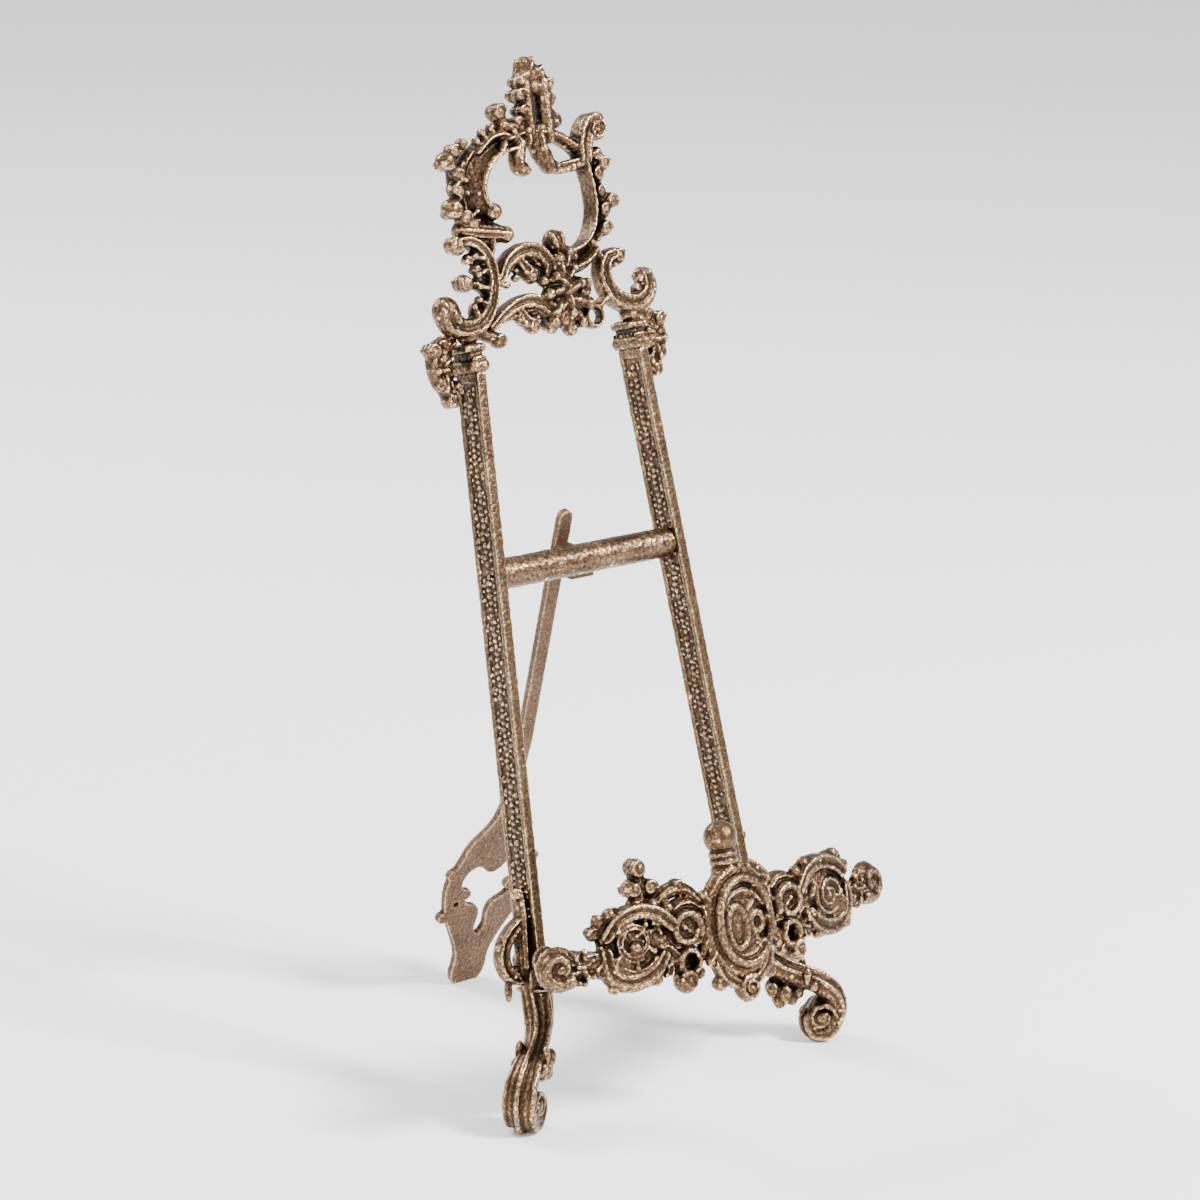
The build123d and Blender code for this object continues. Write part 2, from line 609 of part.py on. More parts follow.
# ---- front feet and side scrolls -----------------------------------------------------------
def right_front_foot_shape():
    """A cast scroll foot: a knee under the upright, then a volute that meets the table."""
    splay = math.radians(FOOT_SPLAY)
    outward = Vector(math.sin(splay), -math.cos(splay), 0)
    sideways = Vector(math.cos(splay), math.sin(splay), 0)
    contact = Vector(FOOT_CONTACT_X, FRAME_Y + FOOT_CONTACT_BEHIND, 0)
    # Each station: reach along the splay, sideways shift, height, half width, half depth.
    stations = [
        (-25.8, 6.6, 41.5, 5.0, 5.0),
        (-25.4, 5.6, 36.5, 5.2, 4.9),
        (-22.4, 3.8, 30.4, 5.0, 4.7),
        (-16.4, 1.9, 25.4, 4.7, 4.4),
        (-9.4, 0.7, 22.6, 4.8, 4.2),
        (-3.0, 0.1, 20.4, 5.1, 4.0),
        (2.2, 0.0, 15.8, 5.4, 3.9),
        (3.6, 0.0, 9.8, 5.5, 3.8),
        (1.0, 0.0, 3.9, 5.4, 3.9),
        (-3.4, 0.0, 4.4, 5.1, 3.0),
        (-5.4, 0.0, 8.4, 4.9, 2.5),
        (-3.2, 0.0, 11.6, 4.8, 2.2),
    ]
    places = [contact + outward * a + sideways * b + Vector(0, 0, z) for a, b, z, _, _ in stations]
    path = Spline(*places)
    sections = []
    for place, (_, _, _, half_width, half_depth) in zip(places, stations):
        along = path % path.param_at_point(place)
        section = Plane(origin=place, x_dir=sideways, z_dir=along)
        sections.append(section * Ellipse(half_width, half_depth))
    limb = sweep(sections, path=path, multisection=True)
    eye_place = contact + outward * -1.2 + Vector(0, 0, 9.2)
    eye = Plane(origin=eye_place, x_dir=outward, z_dir=sideways).location * Cylinder(3.4, 8.6)
    tip_place = contact + outward * -13.8 + Vector(0, 0, 16.6)
    leaf = Pos(*tip_place) * scale(Sphere(1), (3.0, 3.0, 3.8))
    band = fillet(Box(7.6, 2.6, 14.0).edges(), 1.1)
    band_x = inner_edge(BAR_BOTTOM) + BAR_WIDTH / 2
    band = FRAME * (Pos(band_x, BAR_BOTTOM - 1.3, -BAR_DEPTH / 2) * band)
    foot = limb + eye + leaf + band
    upright = FRAME * right_upright_shape()
    above_bar_end = FRAME * (Pos(band_x, BAR_BOTTOM + 10, -BAR_DEPTH / 2) * Box(30, 20, 30))
    below_table = Pos(FOOT_CONTACT_X, FRAME_Y, -10) * Box(80, 80, 20)
    return foot - above_bar_end - below_table - upright


def right_ear_scroll_shape():
    """The small open scroll on an upright's outer side, just above the foot."""
    loop = ribbon(
        [(48.6, 67), (53, 64.4), (57.4, 59.4), (58.6, 52.6), (56.2, 47.6), (51, 46.4)],
        [1.7, 1.9, 1.7, 1.7, 1.9, 2.3],
        -9.0,
        -4.0,
    )
    strip = ribbon([(47.4, 72.6), (47.2, 66), (48.6, 58), (49.4, 50)], [1.5, 1.5, 1.5, 1.7], -8.5, -2.5)
    bud = bead(48.4, 73, 2.1, -5)
    spike = Pos(56.6, 43.2, -6.5) * Rot(90, 0, 0) * Cone(1.8, 0.4, 7.5)
    return joined([loop, strip, bud, spike]) - right_upright_shape()


# ---- hinge and rear leg -----------------------------------------------------------------
CROSSBAR_Y, CROSSBAR_Z = frame_to_world(CROSSBAR_HEIGHT, -BAR_DEPTH / 2)
PIVOT_Y = CROSSBAR_Y + PIVOT_BEHIND_CROSSBAR
UPPER = math.radians(UPPER_TILT)
LOWER = math.radians(LOWER_TILT)
BEND_Y = PIVOT_Y + (PIVOT_Z - LEG_BEND_Z) * math.tan(UPPER)
TOE_Y = BEND_Y + LEG_BEND_Z * math.tan(LOWER)
LOWER_LENGTH = LEG_BEND_Z / math.cos(LOWER)

# The two stretches of the leg: Y up along the leg, Z out of its front face.
UPPER_LEG = Plane(
    origin=(0, PIVOT_Y, PIVOT_Z), x_dir=(1, 0, 0), z_dir=(0, -math.cos(UPPER), -math.sin(UPPER))
).location
LOWER_LEG = Plane(
    origin=(0, TOE_Y, 0), x_dir=(1, 0, 0), z_dir=(0, -math.cos(LOWER), -math.sin(LOWER))
).location
FOOT_LAP_LOW = 60.0  # the stretch of the lower leg where the foot and leg lap
FOOT_LAP_HIGH = 80.0
RIVET_HEIGHTS = (64.0, 75.0)
RIVET_RADIUS = 1.2


def rear_leg_shape():
    """The flat bar of the rear leg, bent a little at the top of its foot plate."""
    above_pivot = (LEG_TOP_Z - PIVOT_Z) / math.cos(UPPER) - LEG_WIDTH / 2
    below_pivot = (PIVOT_Z - LEG_BEND_Z) / math.cos(UPPER)
    straight = above_pivot + below_pivot
    upper = Pos(0, (above_pivot - below_pivot) / 2, 0) * Box(LEG_WIDTH, straight, LEG_THICK)
    upper += Pos(0, above_pivot, 0) * Cylinder(LEG_WIDTH / 2, LEG_THICK)
    upper -= Rot(0, 90, 0) * Cylinder(PIN_RADIUS + PIN_CLEARANCE, 2 * LEG_WIDTH)
    boss = Rot(0, 90, 0) * Cylinder(3.0, LEG_WIDTH)
    upper += boss - Rot(0, 90, 0) * Cylinder(PIN_RADIUS + PIN_CLEARANCE, 2 * LEG_WIDTH)
    span = LOWER_LENGTH - FOOT_LAP_HIGH
    lower = Pos(0, FOOT_LAP_HIGH + span / 2, 0) * Box(LEG_WIDTH, span, LEG_THICK)
    lower += leg_tongue_shape()
    elbow = Pos(0, BEND_Y, LEG_BEND_Z) * Rot(0, 90, 0) * Cylinder(LEG_THICK / 2, LEG_WIDTH)
    leg = UPPER_LEG * upper + LOWER_LEG * lower + elbow
    return leg - LOWER_LEG * foot_rivets_shape()


def leg_tongue_shape():
    """The rear half of the lap joint, left on the leg, in lower-leg axes."""
    lap = FOOT_LAP_HIGH - FOOT_LAP_LOW
    return Pos(0, FOOT_LAP_LOW + lap / 2, -LEG_THICK / 4) * Box(LEG_WIDTH, lap, LEG_THICK / 2)


def foot_rivets_shape():
    """Two domed rivets through the lap joint of the leg and its foot, in lower-leg axes."""
    head_tall = 0.8
    rivets = []
    for height in RIVET_HEIGHTS:
        shank = Pos(0, height, 0) * Cylinder(RIVET_RADIUS, LEG_THICK)
        back_head = Pos(0, height, -(LEG_THICK + head_tall) / 2) * Cylinder(RIVET_RADIUS + 0.7, head_tall)
        rivets.append(shank + fillet(back_head.faces().sort_by(Axis.Z)[0].edges(), 0.5))
    return Compound(rivets)


def rear_foot_shape():
    """The flat openwork foot of the rear leg, a lyre of two limbs that close to a toe."""
    outer = [
        (3.6, 80), (4.2, 72), (8.0, 66.6), (13.4, 61), (15.4, 56), (17.8, 51.6), (19.4, 45), (18.4, 38),
        (17, 33), (13.8, 26.8), (9.4, 18.4), (7.2, 11), (7.4, 5.6), (6, 1.4), (0, 0),
    ]
    opening = [
        (0, 21.4), (2.2, 24.6), (1.8, 29), (2.8, 33.6), (7.2, 36), (9.6, 38.4), (8.6, 41.4),
        (11.8, 44), (12.4, 47.6), (10, 51), (6.2, 51.8), (3.4, 49.6), (0, 48.4),
    ]
    half = make_face(Spline(*outer) + Line((0, 0), (0, 80)) + Line((0, 80), (3.6, 80)))
    half -= make_face(Spline(*opening) + Line((0, 48.4), (0, 21.4)))
    plate = half + mirror(half, about=MIDDLE)
    plate = Pos(0, 0, -LEG_THICK / 2) * extrude(plate, LEG_THICK)
    lobes = []
    for side in (-1, 1):
        lobes += [
            Pos(side * 17.6, 32.4, 0) * Cylinder(2.2, LEG_THICK),
            Pos(side * 17.8, 50.6, 0) * Cylinder(2.0, LEG_THICK),
            Pos(side * 9.4, 40.6, 0) * Cylinder(2.0, LEG_THICK),
        ]
        plate -= Pos(side * 13.4, 37.4, 0) * Cylinder(1.2, 2 * LEG_THICK)
    plate = joined([plate] + lobes) - foot_rivets_shape() - leg_tongue_shape()
    below_table = Pos(0, TOE_Y, -10) * Box(60, 60, 20)
    return LOWER_LEG * plate - below_table


def hinge_lug_shape():
    """The forked lug on the back of the crossbar, with the stop that holds the leg open."""
    outer = LEG_WIDTH / 2 + CHEEK_GAP + CHEEK_THICK
    slot = LEG_WIDTH / 2 + CHEEK_GAP
    cheek = Pos(0, PIVOT_Y, PIVOT_Z) * Rot(0, 90, 0) * Cylinder(LUG_RADIUS, 2 * outer)
    bridge_y = (CROSSBAR_Y + PIVOT_Y) / 2
    bridge = Pos(0, bridge_y, PIVOT_Z) * Box(2 * outer, PIVOT_Y - CROSSBAR_Y, 2 * LUG_RADIUS)
    stop_tall = 5.8
    stop = Box(2 * slot - 1, PIVOT_BEHIND_CROSSBAR - 3, stop_tall, align=(Align.CENTER, Align.MIN, Align.MIN))
    stop = Pos(0, CROSSBAR_Y + 3, PIVOT_Z) * stop
    swing_room = Pos(0, PIVOT_Y, PIVOT_Z) * Rot(0, 90, 0) * Cylinder(LUG_RADIUS + 0.6, 2 * slot)
    leg_room = UPPER_LEG * (Pos(0, 0, STOP_GAP - 10 + LEG_THICK / 2) * Box(2 * slot, 60, 20))
    crossbar = Pos(0, CROSSBAR_Y, CROSSBAR_Z) * Rot(0, 90, 0) * Cylinder(CROSSBAR_RADIUS, 4 * outer)
    fold = Rot(-FOLD_ANGLE, 0, 0)
    folded_room = Pos(0, PIVOT_Y, PIVOT_Z) * fold * Pos(0, -PIVOT_Y, -PIVOT_Z) * leg_room
    below_pivot = Pos(0, PIVOT_Y, PIVOT_Z - 30) * Box(4 * outer, 60, 60)
    lug = cheek + bridge + stop
    lug -= swing_room
    lug -= leg_room
    lug -= folded_room & below_pivot
    lug -= crossbar
    return lug - Pos(0, PIVOT_Y, PIVOT_Z) * Rot(0, 90, 0) * Cylinder(PIN_RADIUS, 4 * outer)



def hinge_pin_shape():
    """The hinge pin with a round head and a riveted tail."""
    outer = LEG_WIDTH / 2 + CHEEK_GAP + CHEEK_THICK
    pin = Cylinder(PIN_RADIUS, 2 * outer)
    pin += Pos(0, 0, outer + 0.6) * fillet(Cylinder(PIN_RADIUS + 1.1, 1.2).edges(), 0.5)
    pin += Pos(0, 0, -outer - 0.4) * fillet(Cylinder(PIN_RADIUS + 0.7, 0.8).edges(), 0.3)
    return Pos(0, PIVOT_Y, PIVOT_Z) * Rot(0, 90, 0) * pin


# ---- the whole easel ---------------------------------------------------------------------
def without(shape, *neighbours):
    """Cuts away what neighbouring castings fill, so that the pieces meet face to face."""
    for neighbour in neighbours:
        shape = shape - neighbour
    return shape


def make_parts():
    upright = right_upright_shape()
    capital = right_capital_shape()
    rail = ledge_rail_shape()
    arm = right_arm_shape()
    medallion = medallion_shape()
    rosette = rosette_shape()
    ball = ball_finial_shape()
    scrolls = without(right_ledge_scrolls_shape(), rail, medallion, rosette, ball, arm)
    left_scrolls = mirrored(scrolls)
    cartouche = crest_cartouche_shape()
    finial = without(crest_finial_shape(), cartouche)
    left_capital = mirrored(capital)
    left_scroll = without(crest_left_scroll_shape(), cartouche, left_capital)
    right_scroll = without(crest_right_scroll_shape(), cartouche, capital)
    foliage = without(crest_foliage_shape(), cartouche, left_scroll, right_scroll, finial)
    drop = right_drop_shape()
    ear = right_ear_scroll_shape()
    foot = right_front_foot_shape()
    frame_parts = {
        "left_upright": mirrored(upright),
        "right_upright": upright,
        "left_capital": left_capital,
        "right_capital": capital,
        "crossbar": crossbar_shape(),
        "crest_cartouche": cartouche,
        "crest_finial": finial,
        "crest_left_scroll": left_scroll,
        "crest_right_scroll": right_scroll,
        "crest_foliage": foliage,
        "left_leaf_drop": without(mirrored(drop), left_capital, left_scroll, mirrored(upright)),
        "right_leaf_drop": without(drop, capital, right_scroll, upright),
        "left_ear_scroll": mirrored(ear),
        "right_ear_scroll": ear,
        "left_ledge_arm": mirrored(arm),
        "right_ledge_arm": arm,
        "ledge_rail": rail,
        "left_ledge_scrolls": left_scrolls,
        "right_ledge_scrolls": scrolls,
        "left_ledge_finial": without(left_ledge_finial_shape(), left_scrolls),
        "medallion": medallion,
        "ball_finial": ball,
        "medallion_rosette": rosette,
        "crossbar_screws": Compound([crossbar_screw_shape(), mirrored(crossbar_screw_shape())]),
        "arm_screws": Compound([arm_screw_shape(), mirrored(arm_screw_shape())]),
    }
    parts = {name: FRAME * shape for name, shape in frame_parts.items()}
    parts["right_front_foot"] = foot - parts["right_ear_scroll"] - parts["right_ledge_arm"]
    parts["left_front_foot"] = mirrored(parts["right_front_foot"])
    parts["hinge_lug"] = hinge_lug_shape()
    parts["hinge_pin"] = hinge_pin_shape()
    parts["rear_leg"] = rear_leg_shape()
    parts["rear_foot"] = rear_foot_shape()
    parts["rear_foot_rivets"] = LOWER_LEG * foot_rivets_shape()
    return parts


if __name__ == "__main__":
    os.makedirs("parts", exist_ok=True)
    for part_name, part_shape in make_parts().items():
        export_step(part_shape, f"parts/{part_name}.step")
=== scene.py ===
import json
import math
import random

import bpy
import numpy as np
from mathutils import Matrix, Vector, noise


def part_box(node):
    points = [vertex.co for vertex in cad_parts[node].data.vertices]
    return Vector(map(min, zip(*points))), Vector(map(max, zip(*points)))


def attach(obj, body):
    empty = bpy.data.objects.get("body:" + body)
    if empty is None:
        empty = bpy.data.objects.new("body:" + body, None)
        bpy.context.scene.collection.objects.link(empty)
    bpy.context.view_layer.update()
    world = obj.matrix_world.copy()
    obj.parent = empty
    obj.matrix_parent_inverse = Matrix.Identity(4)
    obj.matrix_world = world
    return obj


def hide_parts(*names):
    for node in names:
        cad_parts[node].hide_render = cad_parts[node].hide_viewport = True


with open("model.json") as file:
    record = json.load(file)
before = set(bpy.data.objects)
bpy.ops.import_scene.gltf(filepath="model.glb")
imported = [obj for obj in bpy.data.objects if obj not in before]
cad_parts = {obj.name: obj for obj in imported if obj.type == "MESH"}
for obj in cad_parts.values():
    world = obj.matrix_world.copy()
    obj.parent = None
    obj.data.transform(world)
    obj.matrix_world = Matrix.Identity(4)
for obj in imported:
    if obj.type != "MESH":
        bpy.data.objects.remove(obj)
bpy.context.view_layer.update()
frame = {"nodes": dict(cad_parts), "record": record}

# ---- the leaning frame, in millimetres ----
# Ornament is laid out as (x, t, n): across, height up the lean, and distance in front of the plane
# of the bars' front faces, so the bars and the crest lie at negative n.
MM = 0.001
LEAN = math.radians(15.0)
SIN, COS = math.sin(LEAN), math.cos(LEAN)
BAR_DEPTH = 12.0
BAR_WIDTH = 3.5
HALF_GAP_AT_FOOT, TAPER = 46.84, 0.0602
BAR_MIDDLE = -BAR_DEPTH / 2
CROSSBAR_HEIGHT = 175.5
crossbar_low, crossbar_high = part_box("crossbar")
crossbar_middle = (crossbar_low + crossbar_high) / 2 / MM
FRAME_Y = crossbar_middle.y - CROSSBAR_HEIGHT * SIN - BAR_DEPTH / 2 * COS
CREST_BACK, CREST_FRONT = -8.6, -0.4
BRACKET_BACK, BRACKET_FRONT = -7.6, -1.2
CREST_MIDDLE = (CREST_BACK + CREST_FRONT) / 2
RAIL_MIDDLE, RAIL_BOW, BOW_REACH = 44.0, 9.7, 64.5


def inner_edge(height):
    """Half the gap between the uprights at a height up the lean."""
    return HALF_GAP_AT_FOOT - TAPER * height


def to_world(verts):
    """From leaning-frame coordinates to the shared frame, still in millimetres."""
    x, t, n = verts[:, 0], verts[:, 1], verts[:, 2]
    return np.column_stack([x, FRAME_Y + t * SIN - n * COS, t * COS + n * SIN])


# ---- solids as (verts, faces) ----
ROUND = [(math.cos(a), math.sin(a)) for a in np.linspace(0, math.tau, 16, endpoint=False)]
# Each section is a list of (across, towards the front), both from -1 to 1.
CHANNEL = [
    (-1, -0.6), (-1, 0.3), (-0.88, 0.7), (-0.62, 0.88), (-0.36, 0.86), (-0.1, 0.72), (0.14, 0.7),
    (0.38, 0.86), (0.62, 1), (0.84, 0.97), (1, 0.7), (1, -0.6), (0.8, -1), (-0.8, -1),
]
RIDGE = [
    (-1, -0.6), (-0.95, 0.2), (-0.66, 0.36), (-0.5, 0.72), (-0.3, 0.66), (-0.14, 0.9), (0, 1),
    (0.14, 0.9), (0.3, 0.66), (0.5, 0.72), (0.66, 0.36), (0.95, 0.2), (1, -0.6), (0.7, -1), (-0.7, -1),
]
LIP = [
    (1, -0.8), (1, 0.7), (0.92, 0.95), (0.75, 1), (0.56, 0.9), (0.45, 0.55), (0, 0.2), (-0.6, -0.15),
    (-1, -0.45), (-1, -0.8), (-0.8, -1), (0.8, -1),
]


def smooth_rows(rows, steps=6):
    """A Catmull-Rom line through rows of numbers, column by column."""
    rows = np.array(rows, float)
    rows = np.vstack([2 * rows[0] - rows[1], rows, 2 * rows[-1] - rows[-2]])
    out = []
    for i in range(1, len(rows) - 2):
        a, b, c, d = rows[i - 1 : i + 3]
        for k in range(steps):
            t = k / steps
            square, cube = 2 * a - 5 * b + 4 * c - d, 3 * b - a - 3 * c + d
            out.append(0.5 * (2 * b + (c - a) * t + square * t**2 + cube * t**3))
    out.append(rows[-2])
    return np.array(out)


def loft(rings):
    """A closed solid through rings of points, all with the same number of points."""
    rings = np.array(rings)
    count, size = len(rings), len(rings[0])
    faces = []
    for i in range(count - 1):
        for j in range(size):
            k = (j + 1) % size
            faces.append((i * size + j, i * size + k, (i + 1) * size + k, (i + 1) * size + j))
    faces.append(tuple(range(size))[::-1])
    faces.append(tuple((count - 1) * size + j for j in range(size)))
    return rings.reshape(-1, 3), faces


def sweep(centres, sides, fronts, half_widths, half_depths, section):
    """A section carried along a line, with both ends rounded off."""
    section = np.array(section)
    ahead = np.gradient(centres, axis=0)
    ahead /= np.linalg.norm(ahead, axis=1)[:, None]
    rings = []

    def ring(i, shift, size):
        centre = centres[i] + ahead[i] * shift
        across = np.outer(section[:, 0] * half_widths[i] * size, sides[i])
        out = np.outer(section[:, 1] * half_depths[i] * (0.35 + 0.65 * size), fronts[i])
        return centre + across + out

    angles = [math.radians(a) for a in (86, 66, 44, 22)]
    for a in angles:
        rings.append(ring(0, -half_widths[0] * math.sin(a), math.cos(a)))
    for i in range(len(centres)):
        rings.append(ring(i, 0, 1))
    for a in angles[::-1]:
        rings.append(ring(-1, half_widths[-1] * math.sin(a), math.cos(a)))
    return loft(rings)


def band(rows, section=ROUND, back=CREST_BACK, front=CREST_FRONT):
    """A scroll band parallel to the leaning plane, from rows of (x, height, half width)."""
    line = smooth_rows(rows)
    flat = np.gradient(line[:, :2], axis=0)
    flat /= np.linalg.norm(flat, axis=1)[:, None]
    count = len(line)
    centres = np.column_stack([line[:, :2], np.full(count, (back + front) / 2)])
    sides = np.column_stack([-flat[:, 1], flat[:, 0], np.zeros(count)])
    fronts = np.tile([0.0, 0.0, 1.0], (count, 1))
    return sweep(centres, sides, fronts, line[:, 2], np.full(count, (front - back) / 2), section)


def lump(x, t, n, rx, rt=None, rn=None, turn=0.0):
    """An ellipsoid, turned within the leaning plane."""
    rt = rx if rt is None else rt
    rn = rx if rn is None else rn
    rings = []
    for polar in np.linspace(0.12, math.pi - 0.12, 9):
        ring = [
            (rx * math.sin(polar) * math.cos(a), rt * math.sin(polar) * math.sin(a), rn * math.cos(polar))
            for a in np.linspace(0, math.tau, 14, endpoint=False)
        ]
        rings.append(ring)
    verts, faces = loft(rings)
    c, s = math.cos(math.radians(turn)), math.sin(math.radians(turn))
    across, along, out = verts.T
    turned = np.column_stack([across * c - along * s, across * s + along * c, out])
    return turned + np.array([x, t, n]), faces


def spiral_rows(x, t, radius, turns, start, thick, way=1, end=0.22):
    """Rows for a spiral that winds in from radius to a share of it."""
    rows = []
    count = max(6, int(turns * 9))
    for i in range(count + 1):
        f = i / count
        r = radius * (1 - (1 - end) * f)
        a = math.radians(start) + way * f * turns * math.tau
        rows.append((x + r * math.cos(a), t + r * math.sin(a), thick * (1 - 0.35 * f)))
    return rows


def volute(x, t, n, radius, start=90, turns=1.3, way=1, deep=None, eye=0.36):
    """A rolled scroll end: a spiral wall round a button, on a full backing."""
    deep = radius * 0.62 if deep is None else deep
    wall = radius * 0.24
    rows = spiral_rows(x, t, radius - wall, turns, start, wall, way)
    return [
        band(rows, ROUND, n - deep, n + deep),
        lump(x, t, n + 0.1 * deep, radius * eye, radius * eye, deep * 0.95),
        lump(x, t, n - 0.2 * deep, radius * 0.9, radius * 0.9, deep * 0.66),
    ]


def knob(x, t, r, n=CREST_MIDDLE, start=90):
    """A cast knob shaped as a small rolled leaf: a full button with a spiral ridge on its face."""
    rows = spiral_rows(x, t, r * 0.74, 0.95, start, r * 0.27, 1, 0.3)
    return [
        lump(x, t, n, r, r * 0.94, r, start),
        band(rows, ROUND, n + r * 0.3, n + r * 0.98),
        band(rows, ROUND, n - r * 0.98, n - r * 0.3),
    ]


def leaf(x, t, n, length, wide, deep, turn):
    """One plump leaf with a raised vein and a curled tip."""
    a = math.radians(turn)
    along = np.array([math.cos(a), math.sin(a)])
    tip = np.array([x, t]) + along * length * 0.8
    vein = np.array([x, t]) + along * length * 0.1
    return [
        lump(x, t, n, length, wide, deep, turn),
        lump(vein[0], vein[1], n + deep * 0.5, length * 0.82, wide * 0.46, deep * 0.66, turn),
        lump(tip[0], tip[1], n + deep * 0.45, wide * 0.8, wide * 0.8, deep * 0.78),
    ]


GOLDEN_ANGLE = 2.399963


def cluster(x, t, n, wide, tall, count, size, seed, dome=2.6):
    """A heap of leaves that fan out from its middle, highest in the middle."""
    draw = random.Random(seed)
    out = [lump(x, t, n - 1.4, wide * 0.82, tall * 0.82, dome)]
    for i in range(count):
        far = math.sqrt((i + 0.4) / count)
        a = i * GOLDEN_ANGLE + draw.uniform(-0.2, 0.2)
        grow = size * draw.uniform(0.8, 1.2)
        place = (x + wide * far * math.cos(a), t + tall * far * math.sin(a))
        turn = math.degrees(a) + draw.uniform(-26, 26)
        out += leaf(*place, n + dome * (0.9 - far), grow, grow * 0.56, grow * 0.72, turn)
    return out


def frill(rows, side, size, pitch, n, deep=1.5):
    """Small leaf tips along one edge of a band."""
    line = smooth_rows(rows, 10)
    steps = np.linalg.norm(np.diff(line[:, :2], axis=0), axis=1)
    run = np.concatenate([[0], np.cumsum(steps)])
    out = []
    for s in np.arange(pitch * 0.6, run[-1] - pitch * 0.4, pitch):
        i = min(int(np.searchsorted(run, s)), len(line) - 2)
        d = line[i + 1, :2] - line[i, :2]
        d /= np.linalg.norm(d)
        across = np.array([-d[1], d[0]]) * side
        place = line[i, :2] + across * (line[i, 2] + size * 0.15)
        turn = math.degrees(math.atan2(across[1] + 0.5 * d[1], across[0] + 0.5 * d[0]))
        out.append(lump(place[0], place[1], n, size, size * 0.62, deep, turn))
    return out


def at_rail(solids):
    """Moves solids from the bars' front faces out to the middle of the ledge rail."""
    return [(verts + np.array([0.0, 0.0, RAIL_MIDDLE]), faces) for verts, faces in solids]


def mirrored(solids):
    """The same solids on the other side of the easel."""
    return [(verts * np.array([-1, 1, 1]), faces) for verts, faces in solids]


def in_frame(solids):
    """Solids laid out on the lean, placed in the shared frame."""
    return [(to_world(verts), faces) for verts, faces in solids]


def on_rail(x, solids):
    """Turns solids drawn flat round x so that they lie along the bowed ledge rail."""
    turn = math.atan(2 * RAIL_BOW * x / BOW_REACH**2)
    front = RAIL_MIDDLE - RAIL_BOW * (x / BOW_REACH) ** 2
    c, s = math.cos(turn), math.sin(turn)
    out = []
    for verts, faces in solids:
        dx, n = verts[:, 0] - x, verts[:, 2]
        out.append((np.column_stack([x + dx * c + n * s, verts[:, 1], front + n * c - dx * s]), faces))
    return out


def cad_solid(node):
    """A CAD node's own mesh, in millimetres."""
    mesh = frame["nodes"][node].data
    verts = np.zeros(len(mesh.vertices) * 3)
    mesh.vertices.foreach_get("co", verts)
    return verts.reshape(-1, 3) / MM, [tuple(p.vertices) for p in mesh.polygons]


# ---- casting: solids fused into one worn mesh ----
def apply_modifiers(piece):
    """Puts the result of a piece's modifiers in place of its mesh."""
    graph = bpy.context.evaluated_depsgraph_get()
    made = bpy.data.meshes.new_from_object(piece.evaluated_get(graph))
    piece.modifiers.clear()
    old, piece.data = piece.data, made
    bpy.data.meshes.remove(old)


def cast(name, node, body, solids, material, voxel=0.42, relax=4, rough=0.16):
    """Fuses the solids into one casting with a slightly uneven skin, which stands for a CAD node."""
    verts, faces, start = [], [], 0
    for v, f in solids:
        verts.append(v)
        faces += [tuple(i + start for i in face) for face in f]
        start += len(v)
    mesh = bpy.data.meshes.new(name)
    mesh.from_pydata(np.vstack(verts).tolist(), [], faces)
    piece = bpy.data.objects.new(name, mesh)
    bpy.context.scene.collection.objects.link(piece)
    fuse = piece.modifiers.new("fuse", "REMESH")
    fuse.mode = "VOXEL"
    fuse.voxel_size = voxel
    soften = piece.modifiers.new("soften", "SMOOTH")
    soften.iterations = relax
    soften.factor = 0.5
    apply_modifiers(piece)
    mesh = piece.data
    count = len(mesh.vertices)
    places, normals = np.zeros(count * 3), np.zeros(count * 3)
    mesh.vertices.foreach_get("co", places)
    mesh.vertices.foreach_get("normal", normals)
    places, normals = places.reshape(-1, 3), normals.reshape(-1, 3)
    lift = np.array([
        noise.noise(Vector(p) * 0.75) + 0.45 * noise.noise(Vector(p) * 1.9) for p in places
    ])
    places = places + normals * (lift * rough)[:, None]
    places[:, 2] = np.maximum(places[:, 2], 0.0)
    mesh.vertices.foreach_set("co", (places * MM).ravel())
    mesh.polygons.foreach_set("use_smooth", np.ones(len(mesh.polygons), bool))
    mesh.materials.clear()
    mesh.materials.append(material)
    mesh.update()
    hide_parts(node)
    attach(piece, body)
    return piece


# ---- materials ----
def colour(red, green, blue):
    """A display colour, 0 to 255, as linear light."""
    parts = [c / 255 for c in (red, green, blue)]
    return tuple(c / 12.92 if c < 0.04045 else ((c + 0.055) / 1.055) ** 2.4 for c in parts) + (1.0,)


class Nodes:
    """A short way to add and link shader nodes."""

    def __init__(self, name):
        self.material = bpy.data.materials.new(name)
        self.material.use_nodes = True
        self.tree = self.material.node_tree
        self.shader = self.tree.nodes["Principled BSDF"]

    def add(self, kind, **values):
        node = self.tree.nodes.new(kind)
        for key, value in values.items():
            if key in node.inputs:
                node.inputs[key].default_value = value
            else:
                setattr(node, key, value)
        return node

    def link(self, source, target):
        self.tree.links.new(source, target)

    def math(self, operation, a, b, clamp=False):
        node = self.add("ShaderNodeMath", operation=operation, use_clamp=clamp)
        for socket, value in zip(node.inputs, (a, b)):
            if isinstance(value, (int, float)):
                socket.default_value = value
            else:
                self.link(value, socket)
        return node.outputs[0]

    def noise(self, coordinates, scale, detail=4.0, roughness=0.6):
        node = self.add("ShaderNodeTexNoise", Scale=scale, Detail=detail, Roughness=roughness)
        self.link(coordinates, node.inputs["Vector"])
        return node.outputs["Fac"]

    def spread(self, value, low, high):
        node = self.add("ShaderNodeMapRange")
        node.inputs["From Min"].default_value = low
        node.inputs["From Max"].default_value = high
        self.link(value, node.inputs["Value"])
        return node.outputs["Result"]


